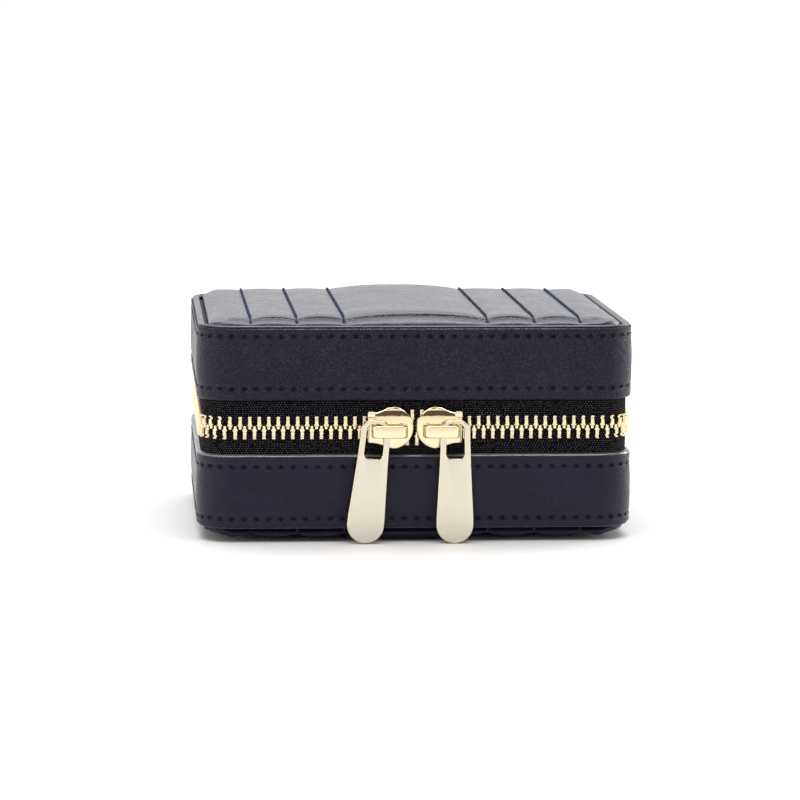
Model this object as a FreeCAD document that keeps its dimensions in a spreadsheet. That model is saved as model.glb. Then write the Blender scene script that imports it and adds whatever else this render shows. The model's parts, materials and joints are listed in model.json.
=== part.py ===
"""Leather jewellery case with a two-way zip: a hard-framed base and lid joined by a leather hinge.

Millimetres. +Z is up, the front is -Y, and the origin is on the table under the middle of the case.
The base and the lid are mirror images about the plane through the middle of the zip chain, so most
lid pieces are the base pieces mirrored in that plane.
"""
import FreeCAD, Part
import math
import os
import re
import Sketcher

Vector = FreeCAD.Vector

# Driving dimensions. "inset" is measured inwards from the outer face of the side bands, "below" is
# measured from the middle of the zip chain away towards the nearest panel.
SIZES = {
    "case_width": 114,
    "case_depth": 92,
    "corner_radius": 10,
    "chain_level": 30,
    "rim_below": 26.5,
    "band_edge_below": 7.1,
    "band_thickness": 1.3,
    "rim_round": 1,
    "rim_lip_width": 2.3,
    "panel_gap": 0.6,
    "panel_edge_round": 2.4,
    "quilt_line_inner": 18.7,
    "quilt_line_middle": 31,
    "quilt_line_outer": 43,
    "side_pad_drop": 1.4,
    "quilt_groove_width": 1.2,
    "quilt_groove_depth": 2.2,
    "stitch_pitch": 3.2,
    "stitch_length": 2.3,
    "stitch_height": 0.45,
    "stitch_proud": 0.3,
    "rim_row_below": 23.8,
    "zip_row_below": 10.2,
    "board_thickness": 2,
    "frame_inner_inset": 5.1,
    "frame_lip_inset": 4.1,
    "frame_lip_below": 8.5,
    "frame_gap": 0.3,
    "liner_thickness": 0.7,
    "liner_edge_below": 1.2,
    "tape_thickness": 0.6,
    "tape_hem_below": 13,
    "tape_edge_below": 0.85,
    "tape_end": 38.5,
    "hinge_strip_width": 75,
    "hinge_lining_thickness": 0.5,
    "hinge_lining_reach": 5,
    "tooth_pitch": 2.48,
    "tooth_width": 1.05,
    "tooth_depth": 2.6,
    "tooth_height": 3.4,
    "tooth_slot": 0.7,
    "tooth_slot_height": 2.2,
    "chain_height": 5.9,
    "chain_end": 40.5,
    "stop_place": 38.7,
    "stop_width": 1.6,
    "stop_depth": 1.9,
    "stop_web": 0.5,
    "stop_below": 1,
    "stop_height": 4.4,
    "spread": 1.7,
    "spread_near": 4.5,
    "spread_far": 12,
    "slider_meeting": -0.6,
    "slider_nose": 0.4,
    "slider_tail": 12.3,
    "slider_head": 5.5,
    "slider_ear": 1.5,
    "slider_ear_proud": 0.35,
    "slider_wall": 0.7,
    "slider_plate": 0.95,
    "slider_play": 0.15,
    "post_start": 2,
    "post_end": 8,
    "post_half_height": 1,
    "bridge_start": 2,
    "bridge_foot": 1.5,
    "bridge_span": 9.1,
    "bridge_height": 3.3,
    "bridge_drop": 0.6,
    "bridge_gap": 2.65,
    "bridge_bar": 1.4,
    "pull_stand_off": 2.05,
    "pull_thickness": 1.2,
    "pull_top": 2.9,
    "pull_length": 29.3,
    "pull_top_half_width": 3.8,
    "pull_bottom_half_width": 4.9,
    "pull_top_round": 2.6,
    "pull_bottom_round": 4.6,
    "window_half_width": 2.3,
    "window_top": 1.95,
    "window_bottom": 7.1,
    "window_top_round": 1.6,
    "window_bottom_round": 0.5,
    "left_pull_tilt": 6,
    "right_pull_tilt": 0,
    "floor_pad_thickness": 1,
    "divider_thickness": 2,
    "divider_height": 17,
    "long_divider_place": -9,
    "roll_count": 5,
    "roll_gap": 0.4,
    "roll_margin": 1.3,
    "roll_flat": 0.1,
    "roll_side_height": 5.5,
    "cross_divider_place": 6,
    "cross_divider_thickness": 1.6,
    "cross_divider_play": 0.2,
    "guide_width": 1.2,
    "guide_reach": 1.2,
    "guide_height": 15,
    "mirror_margin": 5.2,
    "mirror_thickness": 1.2,
    "mirror_board": 1,
    "surround_margin": 0.7,
    "surround_round": 3.6,
    "surround_play": 0.1,
    "surround_lip": 4,
    "surround_front": 1,
}

document = FreeCAD.newDocument("jewellery_case")
sheet = document.addObject("Spreadsheet::Sheet", "sizes")
for row, (alias, number) in enumerate(SIZES.items(), start=1):
    sheet.set(f"A{row}", alias)
    sheet.set(f"B{row}", str(number))
    sheet.setAlias(f"B{row}", alias)
document.recompute()

# Heights and insets that several pieces share, written as formulas of the driving dimensions.
RIM = "chain_level - rim_below"
BAND_EDGE = "chain_level - band_edge_below"
FRAME_FOOT = f"{RIM} + band_thickness"
FRAME_FLOOR = f"{FRAME_FOOT} + board_thickness"
FRAME_STEP = "chain_level - frame_lip_below"
FRAME_TOP = "chain_level - frame_gap"
LINER_FLOOR = f"{FRAME_FLOOR} + liner_thickness"
LINER_INSET = "frame_inner_inset + liner_thickness"
PAD_TOP = f"{LINER_FLOOR} + floor_pad_thickness"
TAPE_HEM = "chain_level - tape_hem_below"
TAPE_EDGE = "chain_level - tape_edge_below"
TAPE_BACK = "band_thickness + tape_thickness"
PANEL_INSET = "rim_lip_width + panel_gap"
CHAIN_INSET = "band_thickness + tape_thickness / 2"
INSIDE_X = f"case_width / 2 - ({LINER_INSET})"
INSIDE_Y = f"case_depth / 2 - ({LINER_INSET})"
QUILT_LINES = ("quilt_line_inner", "quilt_line_middle", "quilt_line_outer")

# Slack in millimetres when edges are picked by where they lie.
NEAR = 0.01


def size(formula):
    """The value in millimetres of a formula of the driving dimensions."""
    return float(sheet.evalExpression(formula))


def linked(formula):
    """The same formula as seen from outside the sheet."""
    def alias(word):
        return "sizes." + word.group() if word.group() in SIZES else word.group()

    return re.sub(r"[a-z_]+", alias, formula)


def bind(item, place, formula):
    item.setExpression(place, linked(formula))


# ---------------------------------------------------------------- sketches and features


def new_body(label):
    body = document.addObject("PartDesign::Body", label)
    body.Label = label
    return body


def new_sketch(body, plane, offset):
    sketch = body.newObject("Sketcher::SketchObject", "outline")
    support = [item for item in body.Origin.OriginFeatures if item.Role == plane][0]
    sketch.AttachmentSupport = [(support, "")]
    sketch.MapMode = "FlatFace"
    bind(sketch, "AttachmentOffset.Base.z", offset)
    return sketch


def add_rounded_rectangle(sketch, width, depth, radius):
    """A centred rectangle with rounded corners, fully constrained to three formulas."""
    x, y, r = size(width) / 2, size(depth) / 2, size(radius)

    def side(x1, y1, x2, y2):
        return Part.LineSegment(Vector(x1, y1, 0), Vector(x2, y2, 0))

    def corner(cx, cy, start):
        circle = Part.Circle(Vector(cx, cy, 0), Vector(0, 0, 1), r)
        return Part.ArcOfCircle(circle, math.radians(start), math.radians(start + 90))

    sketch.addGeometry([
        side(r - x, -y, x - r, -y), corner(x - r, r - y, -90),
        side(x, r - y, x, y - r), corner(x - r, y - r, 0),
        side(x - r, y, r - x, y), corner(r - x, y - r, 90),
        side(-x, y - r, -x, r - y), corner(r - x, r - y, 180),
    ], False)
    rules = [Sketcher.Constraint("Tangent", i, 2, (i + 1) % 8, 1) for i in range(8)]
    rules += [Sketcher.Constraint("Horizontal", 0), Sketcher.Constraint("Vertical", 2)]
    rules += [Sketcher.Constraint("Horizontal", 4), Sketcher.Constraint("Vertical", 6)]
    rules += [Sketcher.Constraint("Equal", 1, i) for i in (3, 5, 7)]
    rules += [Sketcher.Constraint("Symmetric", 0, 1, 4, 1, -1, 1)]
    sketch.addConstraint(rules)
    measured = (
        (Sketcher.Constraint("DistanceX", 6, 1, 2, 1, 2 * x), width),
        (Sketcher.Constraint("DistanceY", 0, 1, 4, 1, 2 * y), depth),
        (Sketcher.Constraint("Radius", 1, r), radius),
    )
    for rule, formula in measured:
        number = sketch.addConstraint(rule)
        bind(sketch, f"Constraints[{number}]", formula)


def add_polygon(sketch, corners):
    """A closed outline through corners given as pairs of formulas."""
    first = sketch.GeometryCount
    count = len(corners)
    points = [Vector(size(x), size(y), 0) for x, y in corners]
    lines = [Part.LineSegment(points[i], points[(i + 1) % count]) for i in range(count)]
    sketch.addGeometry(lines, False)
    for i, (x, y) in enumerate(corners):
        following = first + (i + 1) % count
        sketch.addConstraint(Sketcher.Constraint("Coincident", first + i, 2, following, 1))
        for direction, formula in (("DistanceX", x), ("DistanceY", y)):
            rule = Sketcher.Constraint(direction, -1, 1, first + i, 1, size(formula))
            number = sketch.addConstraint(rule)
            bind(sketch, f"Constraints[{number}]", formula)


def extrude(body, sketch, length, cut=False):
    """Pad, or with cut pocket, a sketch towards its plane's own normal."""
    feature = body.newObject("PartDesign::Pocket" if cut else "PartDesign::Pad", "step")
    feature.Profile = sketch
    feature.Reversed = cut
    bind(feature, "Length", length)
    sketch.Visibility = False
    document.recompute()
    return feature


def layer(body, inset, low, high, cut=False):
    """A slab with the case's own rounded outline, moved in by an inset, between two heights."""
    sketch = new_sketch(body, "XY_Plane", low)
    add_rounded_rectangle(
        sketch,
        f"case_width - 2 * ({inset})",
        f"case_depth - 2 * ({inset})",
        f"corner_radius - ({inset})",
    )
    return extrude(body, sketch, f"({high}) - ({low})", cut)


def block(body, x_range, y_range, z_range, cut=False):
    """A straight-sided block between three pairs of formulas."""
    sketch = new_sketch(body, "XY_Plane", z_range[0])
    (x1, x2), (y1, y2) = x_range, y_range
    add_polygon(sketch, [(x1, y1), (x2, y1), (x2, y2), (x1, y2)])
    return extrude(body, sketch, f"({z_range[1]}) - ({z_range[0]})", cut)


def round_edges(body, radius, wanted):
    """Fillet the edges of the body's last feature for which wanted(edge) is true."""
    base = body.Tip
    names = [f"Edge{i}" for i, edge in enumerate(base.Shape.Edges, start=1) if wanted(edge)]
    fillet = body.newObject("PartDesign::Fillet", "round")
    fillet.Base = (base, names)
    bind(fillet, "Radius", radius)
    document.recompute()
    return fillet


def mirrored(source, label, plane_normal, place, formula):
    """The mirror image of a piece in a plane, with a label of its own."""
    item = document.addObject("Part::Mirroring", label)
    item.Label = label
    item.Source = source
    item.Normal = plane_normal
    bind(item, place, formula)
    return item


def lid_copy(source, label):
    """The lid's twin of a base piece, mirrored in the middle plane of the zip chain."""
    return mirrored(source, label, Vector(0, 0, 1), "Base.z", "chain_level")


def group(label, solids):
    """Many small identical pieces that share one node."""
    item = document.addObject("Part::Feature", label)
    item.Label = label
    item.Shape = Part.makeCompound(solids)
    return item


# ---------------------------------------------------------------- the path round the case


def wall_lengths(inset):
    """Lengths of half the front, a corner, a side, a corner and half the back at an inset."""
    corner = math.pi / 2 * (size("corner_radius") - inset)
    half_front = size("case_width / 2 - corner_radius")
    side = size("case_depth - 2 * corner_radius")
    return half_front, corner, side, corner, half_front


def wall_point(distance, inset):
    """Point and outward heading at a distance along the wall from the middle of the front.

    Positive distances run towards +X. The heading is the turn about Z that carries the front's
    outward direction, -Y, onto the wall's outward direction there.
    """
    radius = size("corner_radius") - inset
    straight_x = size("case_width / 2 - corner_radius")
    straight_y = size("case_depth / 2 - corner_radius")
    half_front, corner, side, _, _ = wall_lengths(inset)
    left = abs(distance)
    if left <= half_front:
        x, y, turn = left, -straight_y - radius, 0.0
    elif left <= half_front + corner:
        turn = (left - half_front) / radius
        x, y = straight_x + radius * math.sin(turn), -straight_y - radius * math.cos(turn)
    elif left <= half_front + corner + side:
        x, y, turn = straight_x + radius, left - half_front - corner - straight_y, math.pi / 2
    elif left <= half_front + 2 * corner + side:
        turn = math.pi / 2 + (left - half_front - corner - side) / radius
        x, y = straight_x + radius * math.sin(turn), straight_y - radius * math.cos(turn)
    else:
        x, y, turn = 2 * half_front + 2 * corner + side - left, straight_y + radius, math.pi
    mirror = -1.0 if distance < 0 else 1.0
    return Vector(mirror * x, y, 0), mirror * turn


def put_on_wall(shape, distance, inset, height):
    """Turn and move a small piece, made at the origin facing -Y, to its place on the wall."""
    point, turn = wall_point(distance, inset)
    point.z = height
    placed = shape.copy()
    placed.Placement = FreeCAD.Placement(point, FreeCAD.Rotation(Vector(0, 0, 1), math.degrees(turn)))
    return placed


def centred_box(x, y, z, low_y=None, low_z=None):
    """A box centred on the origin, or standing from low_y and low_z where they are given."""
    corner = Vector(-x / 2, -y / 2 if low_y is None else low_y, -z / 2 if low_z is None else low_z)
    return Part.makeBox(x, y, z, corner)


# ---------------------------------------------------------------- leather outside


def side_band():
    """Leather band round the base wall, folded inwards over the rim as a narrow lip."""
    body = new_body("base_side_band")
    layer(body, "0", RIM, BAND_EDGE)
    layer(body, "band_thickness", FRAME_FOOT, BAND_EDGE, cut=True)
    layer(body, "rim_lip_width", RIM, FRAME_FOOT, cut=True)
    rim = size(RIM)
    reach = size("case_width / 2 - corner_radius")

    def outer_rim(edge):
        box = edge.BoundBox
        outside = max(abs(box.XMin), abs(box.XMax)) > reach + size("corner_radius") - NEAR
        outside = outside or max(abs(box.YMin), abs(box.YMax)) > size("case_depth") / 2 - NEAR
        return outside and box.ZMax < rim + NEAR

    round_edges(body, "rim_round", outer_rim)
    return body


def panel():
    """Padded quilted panel inset in the rim, sewn in channels that run from front to back.

    The wide middle pad stands proud of the narrow ones beside it.
    """
    body = new_body("base_panel")
    layer(body, PANEL_INSET, "0", FRAME_FOOT)
    half_x = size(f"case_width / 2 - ({PANEL_INSET})")
    half_y = size(f"case_depth / 2 - ({PANEL_INSET})")

    def lowest(edge):
        return edge.BoundBox.ZMax < NEAR and (
            edge.BoundBox.XLength < half_x * 2 and edge.BoundBox.YLength < half_y * 2)

    round_edges(body, "panel_edge_round", lowest)
    far = "case_depth / 2"
    for side in ("", "-"):
        pads = (f"{side}quilt_line_inner", f"{side}case_width / 2")
        block(body, pads, (f"-{far}", far), ("0", "side_pad_drop"), cut=True)
        for line in QUILT_LINES:
            x = f"{side}{line}"
            low, high = f"{x} - quilt_groove_width / 2", f"{x} + quilt_groove_width / 2"
            block(body, (low, high), (f"-{far}", far), ("0", "quilt_groove_depth"), cut=True)
    return body


def panel_stitches():
    """Thread in the bottom of the quilting grooves."""
    thread = size("stitch_height")
    reach = size(f"case_depth / 2 - ({PANEL_INSET}) - panel_edge_round")
    count = int(2 * reach / size("stitch_pitch"))
    floor = size("quilt_groove_depth")
    stitch = centred_box(thread, size("stitch_length"), thread, low_z=floor - thread)
    solids = []
    for line in QUILT_LINES:
        for x in (size(line), -size(line)):
            for i in range(count):
                y = (i - (count - 1) / 2) * size("stitch_pitch")
                solids.append(stitch.translated(Vector(x, y, 0)))
    return group("base_panel_stitches", solids)


def band_stitches(label, below):
    """A row of stitches round the whole side band."""
    around = 2 * sum(wall_lengths(0))
    count = round(around / size("stitch_pitch"))
    depth = size("stitch_proud")
    stitch = centred_box(size("stitch_length"), depth, size("stitch_height"), low_y=-depth)
    height = size(f"chain_level - {below}")
    places = [((i + 0.5) / count - 0.5) * around for i in range(count)]
    return group(label, [put_on_wall(stitch, place, 0, height) for place in places])


# ---------------------------------------------------------------- frame and lining


def frame():
    """Board tray: a thick wall behind the leather and a thin lip behind the zip."""
    body = new_body("base_frame")
    layer(body, "band_thickness", FRAME_FOOT, TAPE_HEM)
    layer(body, TAPE_BACK, TAPE_HEM, FRAME_STEP)
    layer(body, "frame_lip_inset", FRAME_STEP, FRAME_TOP)
    layer(body, "frame_inner_inset", FRAME_FLOOR, FRAME_TOP, cut=True)
    return body


def liner():
    """Thin fabric lining of the tray's floor and walls."""
    body = new_body("base_liner")
    layer(body, "frame_inner_inset", FRAME_FLOOR, "chain_level - liner_edge_below")
    layer(body, LINER_INSET, LINER_FLOOR, "chain_level - liner_edge_below", cut=True)
    return body


def hinge_leather():
    """Outer hinge: a leather strip glued under both bands across the back."""
    body = new_body("hinge_leather")
    half = "hinge_strip_width / 2"
    back = (f"case_depth / 2 - ({TAPE_BACK})", "case_depth / 2 - band_thickness")
    block(body, (f"-{half}", half), back, (TAPE_HEM, "chain_level + tape_hem_below"))
    return body


def hinge_lining():
    """Inner hinge: a fabric strip over the joint between the two frames."""
    body = new_body("hinge_lining")
    half = "hinge_strip_width / 2"
    front = f"case_depth / 2 - ({LINER_INSET}) - hinge_lining_thickness"
    back = f"case_depth / 2 - ({LINER_INSET})"
    heights = ("chain_level - hinge_lining_reach", "chain_level + hinge_lining_reach")
    block(body, (f"-{half}", half), (front, back), heights)
    return body


# ---------------------------------------------------------------- zip


def zip_tape():
    """Woven tape from under the band to the teeth, with its edge drawn aside between the sliders."""
    body = new_body("base_zip_tape")
    layer(body, "band_thickness", TAPE_HEM, TAPE_EDGE)
    layer(body, TAPE_BACK, TAPE_HEM, TAPE_EDGE, cut=True)
    far = "case_depth"
    block(body, ("-tape_end", "tape_end"), ("0", far), (TAPE_HEM, "chain_level"), cut=True)
    near_edge = f"{TAPE_EDGE} - spread"
    notch = new_sketch(body, "XZ_Plane", "0")
    add_polygon(notch, [
        ("slider_meeting - spread_far", TAPE_EDGE),
        ("slider_meeting - spread_near", near_edge),
        ("slider_meeting + spread_near", near_edge),
        ("slider_meeting + spread_far", TAPE_EDGE),
        ("slider_meeting + spread_far", "chain_level"),
        ("slider_meeting - spread_far", "chain_level"),
    ])
    extrude(body, notch, far, cut=True)
    return body


def spread_at(x):
    """How far the teeth are drawn aside at a place; nothing beyond the two sliders."""
    near, far = size("spread_near"), size("spread_far")
    share = (far - abs(x - size("slider_meeting"))) / (far - near)
    return size("spread") * min(1.0, max(0.0, share))


def tooth():
    """A tooth of the base: a block with a slot below for the edge of the tape."""
    width, bottom = size("tooth_width"), size("-chain_height / 2")
    whole = centred_box(width, size("tooth_depth"), size("tooth_height"), low_z=bottom)
    slot = centred_box(2 * width, size("tooth_slot"), size("tooth_slot_height"), low_z=bottom)
    return whole.cut(slot)


def chain_length():
    """Distance along the wall from the middle of the front to the end of the chain at the back."""
    return sum(wall_lengths(size(CHAIN_INSET))) - size("chain_end")


def zip_teeth(label, first, up):
    """One row of teeth. up is 1 for the base's row and -1 for the lid's."""
    pitch, reach = size("tooth_pitch"), chain_length()
    shape = tooth()
    if up < 0:
        shape = shape.mirror(Vector(0, 0, 0), Vector(0, 0, 1))
    level, inset = size("chain_level"), size(CHAIN_INSET)
    count = int((reach - first) / pitch)
    solids = []
    for i in range(-count, count + 1):
        place = i * pitch + first
        if abs(place) > reach:
            continue
        solids.append(put_on_wall(shape, place, inset, level - up * spread_at(place)))
    return group(label, solids)


def zip_stops():
    """The clip over the end of the tape at each end of the base's row, open towards the teeth."""
    width, height = size("stop_width"), size("stop_height")
    bottom = -size("stop_below") - height
    whole = centred_box(width, size("stop_depth"), height, low_z=bottom)
    slot = centred_box(width, size("tooth_slot"), 2 * height, low_z=bottom)
    place = sum(wall_lengths(size(CHAIN_INSET))) - size("stop_place")
    solids = []
    for side in (-1, 1):
        stop = whole.cut(slot.translated(Vector(-side * size("stop_web"), 0, 0)))
        solids.append(put_on_wall(stop, side * place, size(CHAIN_INSET), size("chain_level")))
    return group("base_zip_stops", solids)


def slider_outline():
    """Round head at the nose, then straight sides that end in small square ears at the tail."""
    centre = "slider_meeting + slider_nose + slider_head"
    tail = "slider_meeting + slider_tail"
    side = "chain_height / 2 + slider_play + slider_wall"
    upper = [
        (tail, f"{side} + slider_ear_proud"),
        (f"{tail} - slider_ear", f"{side} + slider_ear_proud"),
        (f"{tail} - slider_ear", side),
        (f"{centre} + slider_head * cos(45)", side),
    ]
    for angle in (75, 105, 135, 165):
        x = f"{centre} + slider_head * cos({angle})"
        upper.append((x, f"slider_head * sin({angle})"))
    return upper + [(x, f"-({z})") for x, z in reversed(upper)]


def raised(corners):
    """The same outline with its heights counted from the table."""
    return [(x, f"chain_level + {z}") for x, z in corners]


def slider():
    """Slider casting of the right-hand slider: two flanged plates joined by the post at the nose."""
    body = new_body("right_slider")
    reach = f"case_depth / 2 - ({CHAIN_INSET})"
    tape_half = "tape_thickness / 2 + slider_play"
    cavity_half = "tooth_depth / 2 + slider_play"
    whole_half = f"{cavity_half} + slider_plate"
    whole = new_sketch(body, "XZ_Plane", f"{reach} - ({whole_half})")
    add_polygon(whole, raised(slider_outline()))
    extrude(body, whole, f"2 * ({whole_half})")
    cavity = new_sketch(body, "XZ_Plane", f"{reach} - ({cavity_half})")
    add_polygon(cavity, raised(channel_outline()))
    add_polygon(cavity, raised(post_outline()))
    extrude(body, cavity, f"2 * ({cavity_half})", cut=True)
    slot = new_sketch(body, "XZ_Plane", f"{reach} - ({tape_half})")
    near, far = "slider_meeting", "slider_meeting + 2 * slider_tail"
    low, high = "-rim_below", "rim_below"
    add_polygon(slot, raised([(near, low), (far, low), (far, high), (near, high)]))
    add_polygon(slot, raised(post_outline()))
    extrude(body, slot, f"2 * ({tape_half})", cut=True)
    return body


def channel_outline():
    """The way through the slider for the two rows of teeth, open at both ends."""
    side = "chain_height / 2 + slider_play"
    near = "slider_meeting + spread_near"
    tail = "slider_meeting + slider_tail"
    upper = [
        (f"{tail} + slider_wall", side),
        (tail, side),
        (near, f"{side} + spread"),
        ("slider_meeting", f"{side} + spread"),
    ]
    return upper + [(x, f"-({z})") for x, z in reversed(upper)]


def post_outline():
    """Wedge that parts the rows of teeth."""
    start = "slider_meeting + post_start"
    near = "slider_meeting + spread_near"
    half = "post_half_height"
    return [
        (start, half), (start, f"-{half}"), (near, f"-{half}"),
        ("slider_meeting + post_end", "0"), (near, half),
    ]


def bridge():
    """Arch over the right-hand slider's front plate that holds the pull."""
    body = new_body("right_slider_bridge")
    plate = f"case_depth / 2 - ({CHAIN_INSET}) + tooth_depth / 2 + slider_play + slider_plate"
    start = "slider_meeting + bridge_start"
    end = f"{start} + bridge_span"
    profile = new_sketch(body, "XY_Plane", "chain_level - bridge_drop - bridge_height / 2")
    under = f"-({plate} + bridge_gap)"
    top = f"-({plate} + bridge_gap + bridge_bar)"
    add_polygon(profile, [
        (start, f"-({plate})"), (start, top), (end, top), (end, f"-({plate})"),
        (f"{end} - bridge_foot", f"-({plate})"), (f"{end} - bridge_foot", under),
        (f"{start} + bridge_foot", under), (f"{start} + bridge_foot", f"-({plate})"),
    ])
    extrude(body, profile, "bridge_height")
    return body


def pull(label, side, tilt):
    """Tapered metal tag with a window near its top, hung on the bridge's outer foot."""
    body = new_body(label)
    outline = new_sketch(body, "XZ_Plane", "0")
    add_polygon(outline, [
        ("pull_top_half_width", "pull_top"), ("pull_bottom_half_width", "-pull_length"),
        ("-pull_bottom_half_width", "-pull_length"), ("-pull_top_half_width", "pull_top"),
    ])
    extrude(body, outline, "pull_thickness")
    split = size("(pull_top - pull_length) / 2")

    def upright(edge):
        return edge.BoundBox.YLength > size("pull_thickness") - NEAR

    round_edges(body, "pull_top_round", lambda edge: upright(edge) and edge.BoundBox.ZMin > split)
    round_edges(body, "pull_bottom_round", lambda edge: upright(edge) and edge.BoundBox.ZMax < split)
    window = new_sketch(body, "XZ_Plane", "0")
    add_polygon(window, [
        ("window_half_width", "window_top"), ("window_half_width", "-window_bottom"),
        ("-window_half_width", "-window_bottom"), ("-window_half_width", "window_top"),
    ])
    extrude(body, window, "pull_thickness", cut=True)

    def window_corner(edge):
        return upright(edge) and abs(edge.BoundBox.XMin) < size("window_half_width") + NEAR

    round_edges(body, "window_top_round", lambda edge: window_corner(edge) and edge.BoundBox.ZMin > 0)
    round_edges(body, "window_bottom_round", lambda edge: window_corner(edge) and (
        size("-window_bottom") - NEAR < edge.BoundBox.ZMin < 0))
    outward = f"slider_meeting {side} (bridge_start + bridge_span - bridge_foot / 2)"
    body.Placement = FreeCAD.Placement(Vector(0, 0, 0), FreeCAD.Rotation(Vector(0, 1, 0), size(tilt)))
    bind(body, "Placement.Base.x", outward)
    bind(body, "Placement.Base.y", "-(case_depth / 2 + pull_stand_off)")
    bind(body, "Placement.Base.z", "chain_level - bridge_drop")
    document.recompute()
    return body


# ---------------------------------------------------------------- inside of the base


def compartment_floor():
    """Padded fabric board on the floor of the open compartment."""
    body = new_body("compartment_floor_pad")
    left = "long_divider_place + divider_thickness / 2"
    gap = "cross_divider_play"
    y = f"{INSIDE_Y} - {gap}"
    block(body, (f"{left} + {gap}", f"{INSIDE_X} - {gap}"), (f"-({y})", y), (LINER_FLOOR, PAD_TOP))

    def wall_corner(edge):
        return edge.BoundBox.ZLength > NEAR and edge.BoundBox.XMin > size("case_width / 4")

    round_edges(body, f"corner_radius - ({LINER_INSET})", wall_corner)
    return body


def ring_board():
    """Board that carries the ring rolls."""
    body = new_body("ring_roll_board")
    right = "long_divider_place - divider_thickness / 2 - cross_divider_play"
    y = f"{INSIDE_Y} - cross_divider_play"
    block(body, (f"-({INSIDE_X} - cross_divider_play)", right), (f"-({y})", y), (LINER_FLOOR, PAD_TOP))

    def wall_corner(edge):
        return edge.BoundBox.ZLength > NEAR and edge.BoundBox.XMax < size("-case_width / 4")

    round_edges(body, f"corner_radius - ({LINER_INSET})", wall_corner)
    return body


def ring_roll(number):
    """Round-topped padded roll; rings are pressed into the gaps between rolls."""
    body = new_body(f"ring_roll_{number + 1}")
    depth = f"2 * ({INSIDE_Y} - roll_margin)"
    pitch = f"({depth}) / roll_count"
    half = f"(({pitch}) - roll_gap) / 2"
    centre = f"({number} - (roll_count - 1) / 2) * ({pitch})"
    right = "long_divider_place - divider_thickness / 2 - roll_gap"
    x_range = (f"-({INSIDE_X}) + roll_margin", right)
    top = f"{PAD_TOP} + roll_side_height + ({half}) - roll_flat / 2"
    block(body, x_range, (f"{centre} - ({half})", f"{centre} + ({half})"), (PAD_TOP, top))
    high = size(top) - NEAR

    def top_edge(edge):
        return edge.BoundBox.ZMin > high and edge.BoundBox.XLength > size("case_width / 5")

    round_edges(body, f"({half}) - roll_flat / 2", top_edge)
    return body


def long_divider():
    """Fixed wall between the ring rolls and the open compartment."""
    body = new_body("long_divider")
    half = "divider_thickness / 2"
    x_range = (f"long_divider_place - {half}", f"long_divider_place + {half}")
    y_range = (f"-({INSIDE_Y})", INSIDE_Y)
    block(body, x_range, y_range, (LINER_FLOOR, f"{LINER_FLOOR} + divider_height"))
    return body


def divider_guides():
    """Upright ribs on both sides of the compartment that hold the cross divider."""
    start = size("long_divider_place + divider_thickness / 2")
    end = size(INSIDE_X)
    reach, width, height = size("guide_reach"), size("guide_width"), size("guide_height")
    offset = size("cross_divider_thickness / 2 + cross_divider_play")
    solids = []
    for x in (start, end - reach):
        for y in (size("cross_divider_place") + offset, size("cross_divider_place") - offset - width):
            solids.append(Part.makeBox(reach, width, height, Vector(x, y, size(PAD_TOP))))
    return group("divider_guides", solids)


def cross_divider():
    """Loose divider that lifts out of the guides."""
    body = new_body("cross_divider")
    play = "cross_divider_play"
    x_range = (f"long_divider_place + divider_thickness / 2 + {play}", f"{INSIDE_X} - {play}")
    half = "cross_divider_thickness / 2"
    y_range = (f"cross_divider_place - {half}", f"cross_divider_place + {half}")
    block(body, x_range, y_range, (PAD_TOP, f"{LINER_FLOOR} + divider_height"))
    return body


# ---------------------------------------------------------------- mirror in the lid

LID_CEILING = f"2 * chain_level - ({LINER_FLOOR})"
MIRROR_BACK = f"{LID_CEILING} - mirror_board"
MIRROR_FACE = f"{MIRROR_BACK} - mirror_thickness"


def mirror_plate(label, low, high):
    """A rectangular plate behind the surround: the mirror glass or its backing board."""
    body = new_body(label)
    x, y = f"{INSIDE_X} - mirror_margin", f"{INSIDE_Y} - mirror_margin"
    block(body, (f"-({x})", x), (f"-({y})", y), (low, high))
    return body


def mirror_surround():
    """Padded fabric frame that laps over the edges of the mirror."""
    body = new_body("mirror_surround")
    x, y = f"{INSIDE_X} - surround_margin", f"{INSIDE_Y} - surround_margin"
    block(body, (f"-({x})", x), (f"-({y})", y), (f"{MIRROR_FACE} - surround_front", LID_CEILING))
    play = "mirror_margin - surround_play"
    x, y = f"{INSIDE_X} - ({play})", f"{INSIDE_Y} - ({play})"
    block(body, (f"-({x})", x), (f"-({y})", y), (MIRROR_FACE, LID_CEILING), cut=True)
    lap = "mirror_margin + surround_lip"
    x, y = f"{INSIDE_X} - ({lap})", f"{INSIDE_Y} - ({lap})"
    front = f"{MIRROR_FACE} - surround_front"
    block(body, (f"-({x})", x), (f"-({y})", y), (front, MIRROR_FACE), cut=True)

    def outer_corner(edge):
        box = edge.BoundBox
        outermost = size(f"{INSIDE_X} - surround_margin")
        return box.ZLength > size("mirror_board") and abs(box.XMin) > outermost - NEAR

    round_edges(body, "surround_round", outer_corner)
    return body


# ---------------------------------------------------------------- the whole case

band, cover, tray, lining, tape = side_band(), panel(), frame(), liner(), zip_tape()
cover_thread = panel_stitches()
rim_thread = band_stitches("base_rim_stitches", "rim_row_below")
zip_thread = band_stitches("base_zip_stitches", "zip_row_below")
right_slider, right_bridge = slider(), bridge()

nodes = [band, cover, cover_thread, rim_thread, zip_thread, tray, lining, tape]
stops = zip_stops()
nodes += [zip_teeth("base_zip_teeth", 0, 1), stops]
nodes += [hinge_leather(), hinge_lining(), compartment_floor(), ring_board()]
nodes += [ring_roll(number) for number in range(int(size("roll_count")))]
nodes += [long_divider(), divider_guides(), cross_divider()]

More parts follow.
